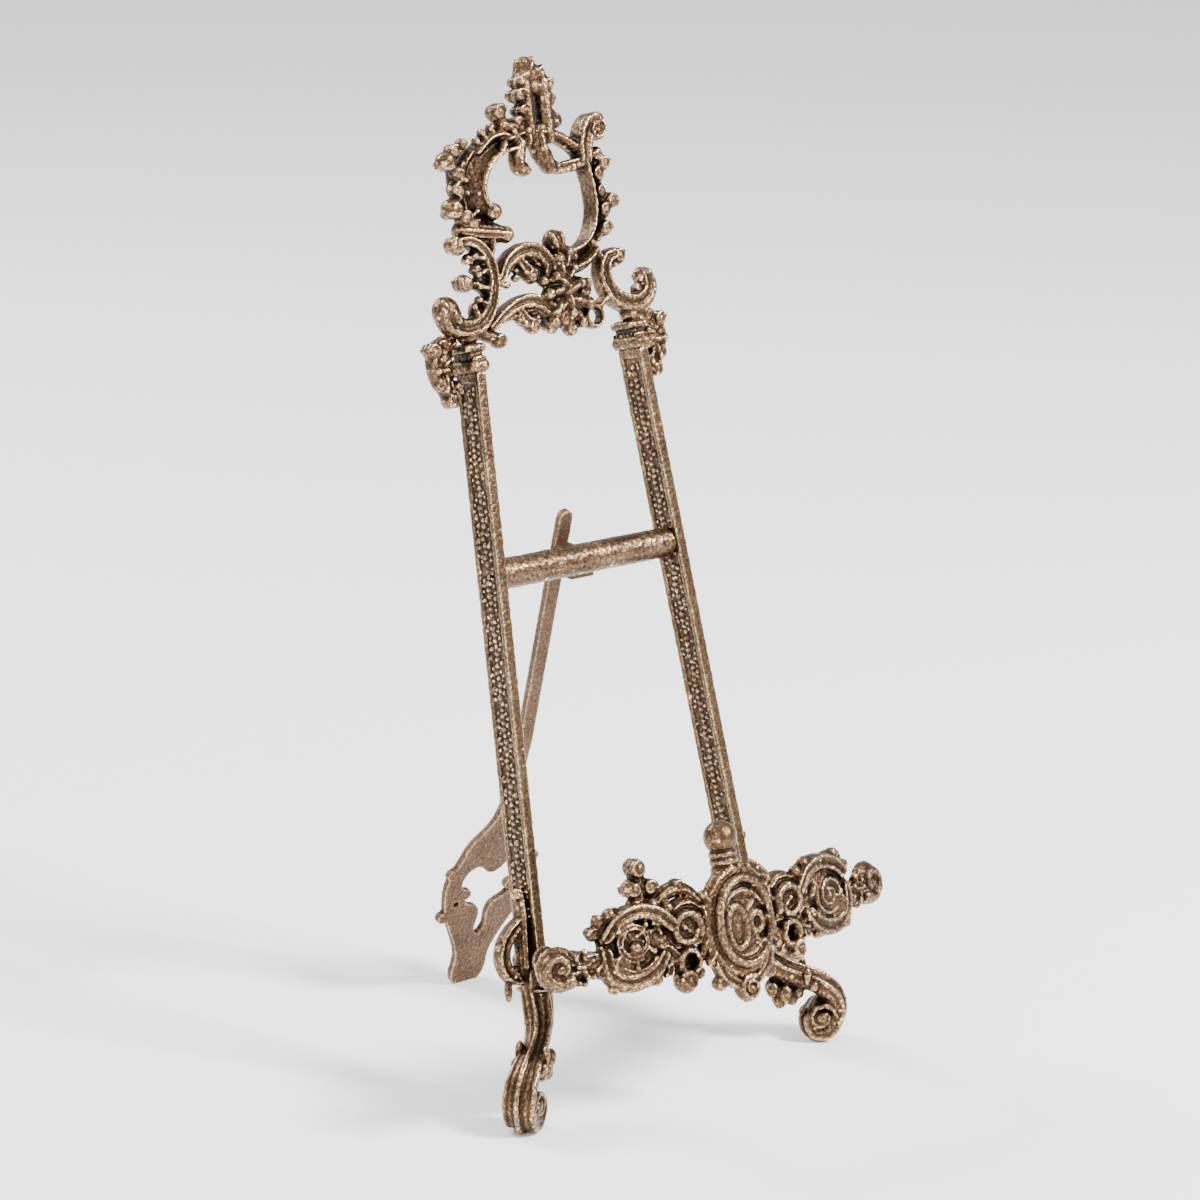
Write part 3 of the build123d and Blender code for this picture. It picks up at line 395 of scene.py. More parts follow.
# How far the painted shade of a hollow reaches, in metres, and how much each cause adds to a spot's tone:
# painted shade with patina in hollows, rubbed wear with painted highlight on edges, cloudy tone and specks.
SHADE_AND_PATINA_REACH = 0.0034
SHADE_AND_PATINA_SHARE, WEAR_AND_HIGHLIGHT_SHARE, CLOUD_SHARE, SPECK_SHARE = 0.46, 0.62, 0.18, 0.34
PATINA = 0.24


def antique_brass(name, tones, roughness, grain, shade_and_patina=1.0, wear_and_highlight=1.0):
    """Brass with dark patina and painted shade in its hollows, rubbed high spots with a painted highlight,
    and the pitted skin of a casting.
    """
    nodes = Nodes(name)
    place = nodes.add("ShaderNodeTexCoord").outputs["Object"]
    # Painted shade: ambient occlusion darkens the base colour in hollows, on top of the real patina there.
    shade = nodes.add("ShaderNodeAmbientOcclusion", Distance=SHADE_AND_PATINA_REACH, samples=6, only_local=True)
    shade_and_patina_openness = nodes.spread(shade.outputs["AO"], 0.42, 1.0)
    # Painted highlight: pointed edges and high spots get a lighter base colour, on top of the real rubbed
    # wear.
    wear_and_highlight_edge = nodes.add("ShaderNodeNewGeometry").outputs["Pointiness"]
    wear_and_highlight_edge = nodes.spread(wear_and_highlight_edge, 0.49, 0.57)
    cloud = nodes.noise(place, 90.0, 3.0)
    speck = nodes.noise(place, 1300.0, 3.0, 0.65)
    pits = nodes.noise(place, 3000.0, 2.0, 0.7)
    tone = nodes.math("MULTIPLY", shade_and_patina_openness, SHADE_AND_PATINA_SHARE * shade_and_patina)
    tone = nodes.math("ADD", tone, nodes.math("MULTIPLY", wear_and_highlight_edge, WEAR_AND_HIGHLIGHT_SHARE * wear_and_highlight))
    tone = nodes.math("ADD", tone, nodes.math("MULTIPLY", nodes.spread(cloud, 0.3, 0.7), CLOUD_SHARE))
    tone = nodes.math("ADD", tone, nodes.math("MULTIPLY", nodes.spread(speck, 0.3, 0.7), SPECK_SHARE))
    tone = nodes.math("SUBTRACT", tone, PATINA + SHADE_AND_PATINA_SHARE * (shade_and_patina - 1.0), clamp=True)
    ramp = nodes.add("ShaderNodeValToRGB")
    stops = ramp.color_ramp.elements
    stops[0].position, stops[0].color = 0.1, colour(*tones[0])
    stops[1].position, stops[1].color = 1.0, colour(*tones[-1])
    for i, tone_colour in enumerate(tones[1:-1]):
        stop = stops.new(0.4 + 0.3 * i)
        stop.color = colour(*tone_colour)
    nodes.link(tone, ramp.inputs["Fac"])
    nodes.link(ramp.outputs["Color"], nodes.shader.inputs["Base Color"])
    nodes.shader.inputs["Metallic"].default_value = 0.95
    gloss = nodes.add("ShaderNodeMapRange")
    gloss.inputs["To Min"].default_value = roughness + 0.24
    gloss.inputs["To Max"].default_value = roughness - 0.06
    nodes.link(tone, gloss.inputs["Value"])
    nodes.link(gloss.outputs["Result"], nodes.shader.inputs["Roughness"])
    relief = nodes.math("ADD", speck, nodes.math("MULTIPLY", pits, 0.6))
    bump = nodes.add("ShaderNodeBump", Strength=grain, Distance=0.0005)
    nodes.link(relief, bump.inputs["Height"])
    nodes.link(bump.outputs["Normal"], nodes.shader.inputs["Normal"])
    return nodes.material


# Four display colours each, from the patina with painted shade in the hollows to the rubbed high spots with
# a painted highlight.
CAST_TONES = [(20, 13, 10), (54, 38, 27), (106, 82, 60), (228, 193, 146)]
BAR_TONES = [(22, 15, 11), (58, 42, 31), (116, 92, 69), (244, 212, 164)]
LEG_TONES = [(32, 23, 18), (76, 58, 45), (116, 92, 72), (196, 166, 132)]
# The fifth and sixth numbers set the strength of the painted shade with patina in hollows and of the rubbed
# wear with painted highlight on edges.
CAST = antique_brass("antique_cast_brass", CAST_TONES, 0.24, 0.3, 1.2)
BAR = antique_brass("antique_bar_brass", BAR_TONES, 0.24, 0.2, 1.5, 0.9)
LEG = antique_brass("antique_leg_brass", LEG_TONES, 0.42, 0.45)
BALL = antique_brass("antique_smooth_brass", CAST_TONES, 0.28, 0.22)
FASTENER = antique_brass("antique_fastener_brass", LEG_TONES, 0.4, 0.25, 1.0, 0.1)
BODY_OF = {
    node: body for body, nodes in frame["record"]["behaviour"]["bodies"].items() for node in nodes
}


def make(node, solids, material=None, **settings):
    """The casting for a node, named after it."""
    return cast(f"{node}_casting", node, BODY_OF[node], solids, material or CAST, **settings)


# ---- crest ----
def crest_cartouche():
    """The open scroll ring: two limbs, a horn, a lip and knobs round the outside."""
    left = [
        (-4.5, 313, 2.4), (-13, 312.3, 3.6), (-19.6, 308.6, 4.5), (-23.9, 302.6, 4.8),
        (-24.4, 296.6, 4.4), (-21.8, 292.0, 3.4), (-18.0, 290.9, 2.8),
    ]
    lip = [(-29.5, 286.6, 3.2), (-23, 285.6, 3.9), (-16.8, 284.6, 3.5), (-13.2, 283.6, 2.4)]
    right = [
        (11, 274.2, 2.1), (17.5, 276, 2.2), (22.5, 280.5, 2.3), (25.4, 287.5, 2.4), (25.9, 295, 2.5),
        (25.2, 302, 2.8), (24.0, 308.5, 3.1),
    ]
    horn = [(22.8, 305.5, 2.8), (24.0, 311.2, 3.3), (26.8, 315.4, 4.0), (29.6, 316.2, 4.0)]
    top = [
        (-6, 314.5, 2.4), (0, 315.8, 2.4), (6, 315.6, 2.2), (12.5, 314, 2.1), (18, 311, 2.2),
        (23, 307, 2.4),
    ]
    shoulder = [(-19, 311.5, 2.0), (-14, 315.0, 2.7), (-9, 316, 2.5), (-4, 315, 2.2)]
    leaf_rows = [(3.8, 313, 2.6), (6.2, 308.5, 3.5), (8.4, 303.8, 2.4)]
    curl = [(7.8, 305, 1.4), (12, 303.2, 1.9), (16.4, 303.4, 2.1), (21.5, 304, 1.9)]
    spine = [(-26.8, 288, 2.2), (-27.4, 293, 2.4), (-28, 299, 2.4), (-26.4, 306, 2.4), (-22, 311, 2.0)]
    right_spine = [
        (25.4, 279.6, 2.2), (27.2, 285, 2.5), (28.0, 291, 2.7), (27.8, 298, 2.7), (27.0, 305, 2.4),
    ]
    solids = [
        band(right_spine, RIDGE, CREST_BACK + 0.8, CREST_FRONT - 2.0),
        band(left, LIP, CREST_BACK, CREST_FRONT + 0.5),
        band(lip, RIDGE),
        band(right, LIP, CREST_BACK + 0.4, CREST_FRONT + 0.3),
        band(horn, CHANNEL, CREST_BACK + 1, CREST_FRONT + 0.6),
        lump(29.4, 315.9, CREST_MIDDLE + 0.3, 4.2, 3.9, 4.0),
        band(
            spiral_rows(28.8, 314.6, 3.6, 1.1, 60, 0.8, -1, 0.3),
            ROUND, CREST_BACK + 0.6, CREST_FRONT + 0.7,
        ),
        band(top, RIDGE, CREST_BACK + 1.4, CREST_FRONT - 0.2),
        band(shoulder, RIDGE, CREST_BACK + 0.6, CREST_FRONT - 1.2),
        band(leaf_rows, ROUND, CREST_BACK + 1.5, CREST_FRONT),
        band(curl, CHANNEL, CREST_BACK + 2, CREST_FRONT - 0.6),
        band(spine, RIDGE, CREST_BACK, CREST_FRONT - 2.6),
        lump(-17.8, 291.6, CREST_MIDDLE + 1.4, 3.4, 3.0, 3.4),
        lump(-13.8, 283.8, CREST_MIDDLE + 0.8, 3.2, 3.0, 3.4, -20),
    ]
    knobs = [
        (-33.0, 309.2, 3.5, 200), (-29.6, 312.0, 2.8, 60), (-29.2, 305.4, 2.9, 140),
        (-30.4, 299.6, 2.9, 90), (-33.4, 294.0, 3.7, 220), (-29.4, 290.6, 3.0, 20),
        (-26.4, 288.4, 2.7, 120), (-25.6, 314.2, 2.1, 0), (30.6, 303.0, 3.0, 20),
        (27.8, 299.8, 2.9, 90), (28.6, 306.6, 2.7, 180), (31.4, 290.6, 3.2, 330),
        (28.2, 287.6, 3.0, 60), (27.6, 281.8, 3.0, 0), (28.0, 294.0, 2.5, 90), (30.8, 313.0, 2.5, 200),
    ]
    for x, t, r, start in knobs:
        solids += knob(x, t, r, CREST_MIDDLE + 0.6, start)
    solids += cluster(-29.6, 303.0, CREST_MIDDLE, 2.6, 7.6, 9, 2.2, 3)
    solids += cluster(-26.2, 289.6, CREST_MIDDLE, 2.4, 3.4, 6, 2.0, 4)
    solids += frill(shoulder, 1, 1.8, 3.0, CREST_MIDDLE, 2.2)
    solids += leaf(21, 303.5, CREST_MIDDLE + 1.4, 4.6, 1.7, 2.0, 190)
    solids += leaf(-4.4, 311.4, CREST_MIDDLE + 2.2, 3.2, 1.6, 2.2, 250)
    solids += leaf(-10.4, 312.0, CREST_MIDDLE + 2.4, 2.8, 1.4, 2.0, 230)
    make("crest_cartouche", in_frame(solids), relax=6)


def crest_finial():
    """Two knobbed columns under a bud, and the leaves that hang from their foot into the ring."""
    solids = [
        band(
            [(2.2, 314, 3.0), (2.3, 321, 2.8), (2.6, 326.5, 2.9), (2.8, 331, 2.9)],
            ROUND, CREST_BACK + 1.2, CREST_FRONT,
        ),
        band(
            [(9.7, 314, 2.9), (9.8, 320.5, 2.8), (10.3, 326, 3.1), (10.4, 331, 3.1)],
            ROUND, CREST_BACK + 1.2, CREST_FRONT,
        ),
        band(
            [(2.8, 329.4, 2.2), (6.6, 330.2, 2.9), (10.3, 329.4, 2.3)],
            ROUND, CREST_BACK + 2, CREST_FRONT - 0.6,
        ),
        band(
            [(-8.4, 319.2, 1.8), (-4, 317.6, 2.3), (1, 316.6, 2.6), (7, 316.4, 2.6), (13.4, 318.0, 2.2)],
            ROUND, CREST_BACK + 1.4, CREST_FRONT - 0.8,
        ),
        band(
            [(-3, 312, 2.6), (-4.6, 307.5, 2.5), (-4.4, 304.4, 2.2), (-2.4, 303.4, 1.9)],
            ROUND, CREST_BACK + 2, CREST_FRONT + 0.6,
        ),
        band([(-6.2, 319, 1.5), (-9.2, 322, 1.6)], ROUND, CREST_BACK + 2.5, CREST_FRONT - 1.5),
        lump(6.0, 334.8, CREST_MIDDLE, 5.4, 4.0, 4.0),
        lump(5.0, 337.6, CREST_MIDDLE, 3.6, 3.0, 3.6),
        lump(9.6, 334.2, CREST_MIDDLE + 1.6, 2.4, 1.9, 2.4),
        lump(3.2, 334.4, CREST_MIDDLE + 1.6, 2.2, 1.9, 2.4),
    ]
    knobs = [(0.4, 323.0, 2.2), (0.0, 328.0, 2.7), (1.4, 332.4, 2.4), (2.6, 319.8, 2.0), (-2.6, 319.4, 2.2)]
    knobs += [(11.6, 320.6, 2.0), (12.0, 325.4, 2.5), (12.2, 330.6, 2.6), (9.4, 333.0, 2.0)]
    for x, t, r in knobs:
        solids += knob(x, t, r, CREST_MIDDLE + 1.4, 25)
        solids.append(lump(x, t, CREST_MIDDLE - 1.8, r, r * 0.8, r * 1.1, -25))
    solids += knob(-9.2, 323.0, 3.5, CREST_MIDDLE, 30)
    solids += knob(14.8, 318.8, 2.5, CREST_MIDDLE, 90)
    solids += leaf(0.2, 313.8, CREST_FRONT - 1.4, 3.0, 1.7, 1.9, 90)
    solids += leaf(5.2, 312.8, CREST_FRONT - 1.2, 3.4, 2.0, 2.0, 270)
    solids += leaf(-4.2, 314.6, CREST_FRONT - 1.6, 2.8, 1.5, 1.7, 120)
    solids += knob(-3.0, 304.8, 2.2, CREST_FRONT - 2.6, 260)
    solids += leaf(5.4, 336.8, CREST_MIDDLE + 2.4, 3.0, 1.5, 1.8, 70)
    solids += leaf(8.4, 335.4, CREST_MIDDLE + 2.2, 2.6, 1.2, 1.6, 30)
    make("crest_finial", in_frame(solids), voxel=0.38, relax=7)


def crest_left_scroll():
    """The S-shaped bracket between the left capital and the ring."""
    limb = [
        (-33, 283, 1.7), (-28.4, 282.6, 1.8), (-24.2, 279.4, 1.9), (-22.2, 274, 2.0), (-22.2, 268, 2.1),
        (-24.4, 261.6, 2.3),
    ]
    base = [
        (-24.4, 261.6, 2.3), (-28.8, 257, 2.8), (-34.6, 255.6, 3.0), (-39.6, 257.4, 4.0),
        (-41.2, 261.6, 4.3),
    ]
    solids = [
        band(limb, CHANNEL, BRACKET_BACK, BRACKET_FRONT + 0.4),
        band(base, CHANNEL, BRACKET_BACK, BRACKET_FRONT + 0.4),
        band(
            [(-32.6, 269.6, 1.5), (-27.6, 268.8, 1.8), (-23, 265.4, 1.6)],
            RIDGE, BRACKET_BACK + 1, BRACKET_FRONT,
        ),
        band(
            [(-22.8, 250.8, 2.2), (-26.5, 252.2, 2.3), (-30.5, 254.4, 2.2)],
            RIDGE, BRACKET_BACK + 1.5, BRACKET_FRONT,
        ),
        band(
            [(-15.8, 267.4, 0.9), (-19, 268.4, 1.0), (-22.4, 270, 1.3)],
            ROUND, BRACKET_BACK + 2, BRACKET_FRONT - 1.5,
        ),
        band([(-30.4, 277.6, 1.1), (-27, 279, 1.3)], ROUND, BRACKET_BACK + 2, BRACKET_FRONT - 1.5),
        band(
            [(-22.6, 276, 1.6), (-19.5, 280, 1.8), (-19, 284.6, 1.9)],
            RIDGE, BRACKET_BACK, BRACKET_FRONT - 0.6,
        ),
        lump(-34, 252.6, CREST_MIDDLE, 4.2, 2.6, 3.2),
        lump(-41.2, 261.4, CREST_MIDDLE, 5.0, 5.4, 4.0, 20),
        lump(-39.6, 259.6, CREST_MIDDLE + 3.0, 1.6, 3.4, 1.6, 25),
        lump(-42.6, 262.8, CREST_MIDDLE + 2.6, 1.2, 3.2, 1.4, 25),
    ]
    knobs = [
        (-33.8, 282, 3.4, 120), (-33.0, 269.8, 3.3, 150), (-22.8, 250.2, 2.9, 300),
        (-15.8, 267.4, 1.4, 0), (-30.0, 277.4, 2.0, 200), (-27.6, 274.0, 2.0, 200),
    ]
    for x, t, r, start in knobs:
        solids += knob(x, t, r, CREST_MIDDLE + 0.4, start)
    leaves = [
        (-25.4, 277.0, 160), (-25.2, 272.8, 200), (-25.4, 267.6, 170), (-26.6, 262.6, 150),
        (-30.4, 259.4, 110),
    ]
    for x, t, angle in leaves:
        solids += leaf(x, t, CREST_MIDDLE + 0.4, 3.4, 1.7, 2.6, angle)
    make("crest_left_scroll", in_frame(solids), voxel=0.38, relax=6)


def crest_right_scroll():
    """The C-shaped bracket between the right capital and the ring."""
    main = [
        (29.6, 273.4, 1.9), (25.8, 271.8, 2.1), (24.0, 267, 2.3), (25.5, 261.4, 2.6),
        (29.8, 257.4, 2.9), (35.6, 255.8, 3.3), (40.2, 257.4, 3.3), (42.6, 261.0, 3.1),
        (42.0, 264.8, 2.6),
    ]
    solids = [
        band(main, CHANNEL, BRACKET_BACK, BRACKET_FRONT + 0.4),
        band(
            [(22, 277.5, 1.7), (23.6, 274, 1.8), (24.6, 270, 1.6)],
            RIDGE, BRACKET_BACK, BRACKET_FRONT - 0.6,
        ),
        lump(34, 252.4, CREST_MIDDLE, 4.2, 2.6, 3.2),
    ]
    for x, t, r, start in [(31.6, 272.0, 3.1, 40), (38.4, 260.2, 2.2, 120), (40.6, 265.2, 2.7, 200)]:
        solids += knob(x, t, r, CREST_MIDDLE + 0.4, start)
    for x, t, angle in [(40.4, 262.2, 150), (26.8, 268.8, 20)]:
        solids += leaf(x, t, CREST_MIDDLE + 0.4, 2.7, 1.3, 2.4, angle)
    make("crest_right_scroll", in_frame(solids), voxel=0.38, relax=6)


def crest_foliage():
    """Two arching leaves, a shell bud, a small loop and a heap of leaves between the brackets."""
    upper = [
        (-19, 270, 1.5), (-15, 275.0, 2.1), (-8, 277.8, 2.7), (-2, 276.4, 2.6), (1.0, 272.4, 2.2),
        (0.2, 269.6, 1.8),
    ]
    under = [(-16, 270.6, 0.9), (-11.6, 274.2, 1.3), (-6.2, 275.2, 1.3), (-2.6, 272.4, 1.2)]
    lower = [
        (-25, 254.8, 1.6), (-18, 259.2, 2.0), (-10, 261.4, 2.5), (-3.4, 259.6, 2.6), (-0.4, 255.6, 2.3),
        (-1.4, 252.6, 1.9),
    ]
    inner = [(-20, 256.0, 0.9), (-13.6, 257.6, 1.3), (-7.4, 258.2, 1.4), (-3.6, 256.0, 1.2)]
    solids = [
        band(upper, CHANNEL, CREST_BACK + 1.5, CREST_FRONT + 0.2),
        band(under, RIDGE, CREST_BACK + 2, CREST_FRONT - 1),
        band(
            [(-10.6, 274.6, 1.3), (-8.2, 271.4, 2.0), (-6.2, 269.6, 2.0)],
            CHANNEL, CREST_BACK + 2, CREST_FRONT,
        ),
        band(lower, CHANNEL, CREST_BACK + 1.5, CREST_FRONT + 0.2),
        band(inner, RIDGE, CREST_BACK + 2, CREST_FRONT - 1),
        band(
            [(-13.6, 258.4, 1.4), (-11.4, 255.2, 1.7), (-8.6, 253.6, 1.8)],
            CHANNEL, CREST_BACK + 2, CREST_FRONT,
        ),
        band(
            [(4, 274, 3.2), (6.4, 268, 4.4), (6, 260, 3.8), (5, 253.4, 2.4)],
            ROUND, CREST_BACK + 1.5, CREST_FRONT - 3,
        ),
        band(
            [(8, 270.4, 2.0), (14, 270.6, 2.3), (19, 272.4, 2.0), (22.6, 275.4, 1.5)],
            RIDGE, CREST_BACK + 1.5, CREST_FRONT - 0.6,
        ),
        band(
            [(20.4, 256.4, 1.2), (23, 258.6, 1.4), (25.6, 259.4, 1.5)],
            ROUND, CREST_BACK + 2, CREST_FRONT - 1,
        ),
        band([(13.6, 253, 1.5), (9, 254, 2.0)], ROUND, CREST_BACK + 2, CREST_FRONT - 1),
        band(spiral_rows(17.4, 253.7, 3.4, 1.0, 60, 1.2, 1, 1.0), ROUND, CREST_BACK + 2, CREST_FRONT - 1),
        lump(6.4, 278.9, CREST_MIDDLE, 4.0, 4.9, 3.8, 12),
        lump(4.6, 279.6, CREST_MIDDLE + 2.6, 1.2, 3.6, 1.8, 18),
        lump(7.6, 279.2, CREST_MIDDLE + 2.6, 1.3, 3.8, 1.8, -6),
    ]
    solids += cluster(6.4, 263.6, CREST_FRONT - 2.8, 7.0, 9.6, 13, 4.6, 11, 2.4)
    solids += cluster(-8.6, 271.8, CREST_FRONT - 3.6, 3.6, 3.2, 7, 1.9, 12, 2.2)
    solids += cluster(-9.4, 255.8, CREST_FRONT - 3.6, 3.8, 2.8, 7, 1.9, 13, 2.2)
    solids += volute(4.6, 267.6, CREST_FRONT - 1.0, 2.9, 30, 1.2, 1, 2.0, 0.45)
    knobs = [
        (3.6, 253.8, 3.2, 0), (9.0, 255.4, 2.9, 160), (6.8, 250.6, 2.7, 80), (14.6, 262.8, 2.7, 200),
        (-6.4, 269.2, 2.8, 60), (-8.6, 253.0, 2.7, 80), (-1.0, 252.2, 2.6, 80), (-13.4, 256.6, 2.0, 80),
        (11.8, 274.0, 2.3, 60), (-12.8, 269.2, 1.5, 0),
    ]
    for x, t, r, start in knobs:
        solids += knob(x, t, r, CREST_FRONT - 2.6, start)
    make("crest_foliage", in_frame(solids), voxel=0.36, relax=7)


def leaf_drop(node, side):
    """The drop of leaves that hangs outside a capital."""
    spine = [
        (39.4, 252.0, 2.2), (43.6, 250.4, 3.0), (45.6, 246.4, 3.2), (45.2, 241.4, 3.1),
        (43.4, 237.4, 2.6), (42.6, 234.8, 2.2),
    ]
    middle = -7.8
    solids = [
        band(spine, CHANNEL, -10.8, -4.6),
        band([(39.2, 237.6, 1.4), (42.6, 240, 1.8)], ROUND, -10, -6.5),
        lump(42.0, 246.4, middle - 0.3, 3.0, 4.2, 2.6, 20),
    ]
    knobs = [
        (47.2, 249.6, 3.2, 20), (42.6, 243.4, 2.7, 200), (42.8, 233.6, 3.0, 250),
        (39.4, 237.6, 2.0, 180), (47.0, 244.0, 2.4, 0), (46.0, 238.6, 2.3, 0), (42.6, 251.8, 2.6, 90),
    ]
    for x, t, r, start in knobs:
        solids += knob(x, t, r, middle + 0.6, start)
    solids += cluster(44.2, 243.4, middle + 0.8, 2.0, 6.0, 6, 3.2, 21, 1.2)
    make(node, in_frame(solids if side > 0 else mirrored(solids)), voxel=0.36, relax=7)


# ---- bars ----
def upright(node, side):
    """The bar with its cast row of beads and leaf tips in both side panels."""
    solids = [cad_solid(node)]
    draw = random.Random(7 if side > 0 else 8)
    pitch, inset, side_row, gap_share = 2.05, 0.45, 2.5, 0.2
    panel_low, panel_high = 60.5, 236.0
    beads = []
    for offset in (inset, BAR_WIDTH - inset):
        for t in np.arange(panel_low, panel_high, pitch):
            x = inner_edge(t) + offset
            size = draw.uniform(0.75, 1.15)
            beads.append(lump(x, t, BAR_MIDDLE + draw.uniform(-0.6, 0.6), 0.7, size, size * 1.25))
            for shift in (-side_row, side_row):
                if draw.random() < gap_share:
                    continue
                tip_t = t + pitch * draw.uniform(0.2, 0.8)
                size = draw.uniform(0.45, 0.85)
                tip_n = BAR_MIDDLE + shift + draw.uniform(-0.7, 0.7)
                beads.append(lump(x, tip_t, tip_n, 0.62, size, size * draw.uniform(0.9, 1.9)))
    beads = beads if side > 0 else mirrored(beads)
    make(node, solids + in_frame(beads), BAR, voxel=0.34, relax=2, rough=0.12)


def capital(node, side):
    """The capital's CAD shape with a row of seven small leaves under three larger ones."""
    x = inner_edge(245) + BAR_WIDTH / 2
    trim = []
    for i in range(7):
        n = BAR_MIDDLE + (i - 3) * 1.9
        trim.append(lump(x, 245.6, n, 3.0, 0.9, 0.8))
    for n in (BAR_MIDDLE - 3.6, BAR_MIDDLE, BAR_MIDDLE + 3.6):
        trim.append(lump(x, 249.6, n, 4.3, 1.1, 1.5))
    trim = trim if side > 0 else mirrored(trim)
    make(node, [cad_solid(node)] + in_frame(trim), voxel=0.34, relax=3)


# ---- ledge ----
def ledge_wing(node, side):
    """One half of the openwork ledge. The two halves have the same scrolls and different shell centres."""
    inner = [
        band(spiral_rows(21.5, 57.5, 5.4, 1.0, 200, 2.2, -1, 0.7), ROUND, -2.6, 4.8),
        lump(21.5, 57.5, 0.2, 6.8, 6.6, 3.0),
        lump(21.4, 46.8, -1.4, 3.4, 3.4, 1.6),
        band(spiral_rows(21.4, 46.8, 3.9, 0.95, 120, 1.7, -1, 0.9), ROUND, -2.0, 3.8),
        band([(14, 52, 2.2), (12.4, 56, 2.4), (13.5, 62, 2.2)], RIDGE, -2, 3.2),
        band([(14.4, 50.4, 1.8), (16.6, 47.0, 1.9)], ROUND, -2, 2.4),
        band(
            [(15.4, 63.4, 1.7), (18.6, 65.4, 2.0), (23.0, 65.2, 1.9), (26.6, 63.0, 1.7)],
            RIDGE, -2.2, 3.2,
        ),
        band([(25.8, 50.8, 1.9), (28.4, 53.4, 2.1), (31.4, 53.6, 1.9)], RIDGE, -2.2, 2.8),
    ]
    inner += leaf(20.4, 56.6, 1.6, 3.0, 1.6, 2.0, 40)
    inner += leaf(23.4, 58.8, 1.4, 2.4, 1.3, 1.8, 80)
    inner += knob(23.4, 40.8, 4.1, 0.6, 60)
    inner += knob(17.8, 42.4, 2.4, 0.2, 0)
    inner += cluster(27.8, 47.6, 0.4, 3.4, 3.6, 9, 2.0, 41, 1.6)
    inner += cluster(15.2, 57.6, 0.8, 2.0, 5.6, 8, 1.9, 42, 1.6)
    inner += cluster(24.8, 64.2, 0.6, 3.6, 1.8, 6, 1.8, 43, 1.6)
    arch = [(26.6, 60.0, 2.3), (31.2, 64.4, 2.6), (38, 66.4, 2.8), (45, 64.8, 2.6), (50, 60.6, 2.1)]
    sweep_under = [
        (30.4, 51, 2.1), (34.4, 46.8, 2.7), (41.2, 44.6, 3.0), (47.2, 45.8, 3.0), (50.4, 50, 2.4),
        (51, 55.6, 2.0),
    ]
    shell = [
        lump(41, 55, 0.4, 10.0, 10.2, 3.0),
        band(arch, CHANNEL, -2.6, 4.6),
        band(sweep_under, CHANNEL, -2.6, 4.4),
        band([(51.4, 63.4, 2.0), (50.2, 60, 2.2), (50, 56, 2.0)], RIDGE, -2.5, 2.4),
        band([(53.4, 62.4, 1.6), (50.6, 60, 1.8)], ROUND, -2, 1.2),
    ]
    if side > 0:
        shell += [
            band(spiral_rows(41.4, 55.4, 7.2, 1.9, 150, 1.35, 1, 0.2), ROUND, -0.6, 3.9),
            lump(41.2, 55.2, 1.8, 1.6, 1.6, 2.4),
        ]
        shell += leaf(47.0, 52.6, 2.4, 3.4, 1.6, 1.9, 100)
        shell += leaf(36.0, 49.0, 2.0, 3.2, 1.5, 1.8, 140)
        shell += leaf(33.2, 58.0, 2.0, 3.2, 1.5, 1.8, 70)
    else:
        shell += [
            band(spiral_rows(41.0, 57.4, 5.6, 1.15, 250, 1.3, 1, 0.78), CHANNEL, -1.0, 4.6),
            band(
                [(34.2, 50.8, 1.3), (37.6, 48.6, 1.5), (42.0, 48.2, 1.6), (46.2, 50.2, 1.3)],
                RIDGE, -1.0, 4.4,
            ),
            lump(40.8, 55.6, 2.6, 2.8, 2.5, 2.8),
        ]
        shell += leaf(37.6, 60.4, 2.4, 2.8, 1.4, 1.9, 130)
        shell += leaf(44.6, 60.2, 2.4, 2.8, 1.4, 1.9, 50)
        shell += leaf(36.0, 54.6, 2.2, 2.8, 1.4, 1.9, 215)
        shell += leaf(46.2, 54.4, 2.2, 2.8, 1.4, 1.9, 325)
        shell += leaf(41.0, 51.4, 2.4, 2.6, 1.5, 1.9, 270)
    shell += knob(50.6, 65.2, 2.7, -0.4, 80)
    shell += knob(53.4, 62.2, 2.5, -0.4, 20)
    edge_leaves = [
        (30.0, 63.8, 150), (35.2, 66.6, 165), (44.2, 66.2, 20), (37.6, 44.6, 190), (46.0, 45.0, 350),
    ]
    for x, t, turn in edge_leaves:
        shell += leaf(x, t, 0.4, 4.4, 2.8, 2.8, turn)
    shell += cluster(31.0, 61.4, 1.0, 2.4, 3.4, 7, 2.0, 44, 1.6)
    shell += cluster(52.6, 52.4, 0.8, 2.6, 4.4, 9, 2.1, 45, 1.6)
    end = [
        band([(52, 53.4, 3.4), (57.2, 52.0, 3.6), (62, 51.8, 3.4)], RIDGE, -3.0, 3.0),
        band(spiral_rows(66.2, 54.0, 5.4, 0.95, 235, 2.7, 1, 0.42), ROUND, -3.6, 4.4),
        lump(66.2, 54.0, 0.0, 7.2, 7.2, 3.4),
        lump(66.0, 53.6, 2.0, 2.2, 2.0, 2.4),
    ]
    end += cluster(57.6, 53.2, 1.4, 4.2, 3.0, 9, 2.1, 46, 1.6)
    end += leaf(60.6, 48.8, 0.0, 3.6, 1.6, 2.0, 200)
    solids = on_rail(21.5, inner) + on_rail(41, shell) + on_rail(62, end)
    solids += on_rail(31, [lump(31, 55, -0.2, 6.0, 5.6, 2.6)])
    make(node, in_frame(solids if side > 0 else mirrored(solids)), voxel=0.36)


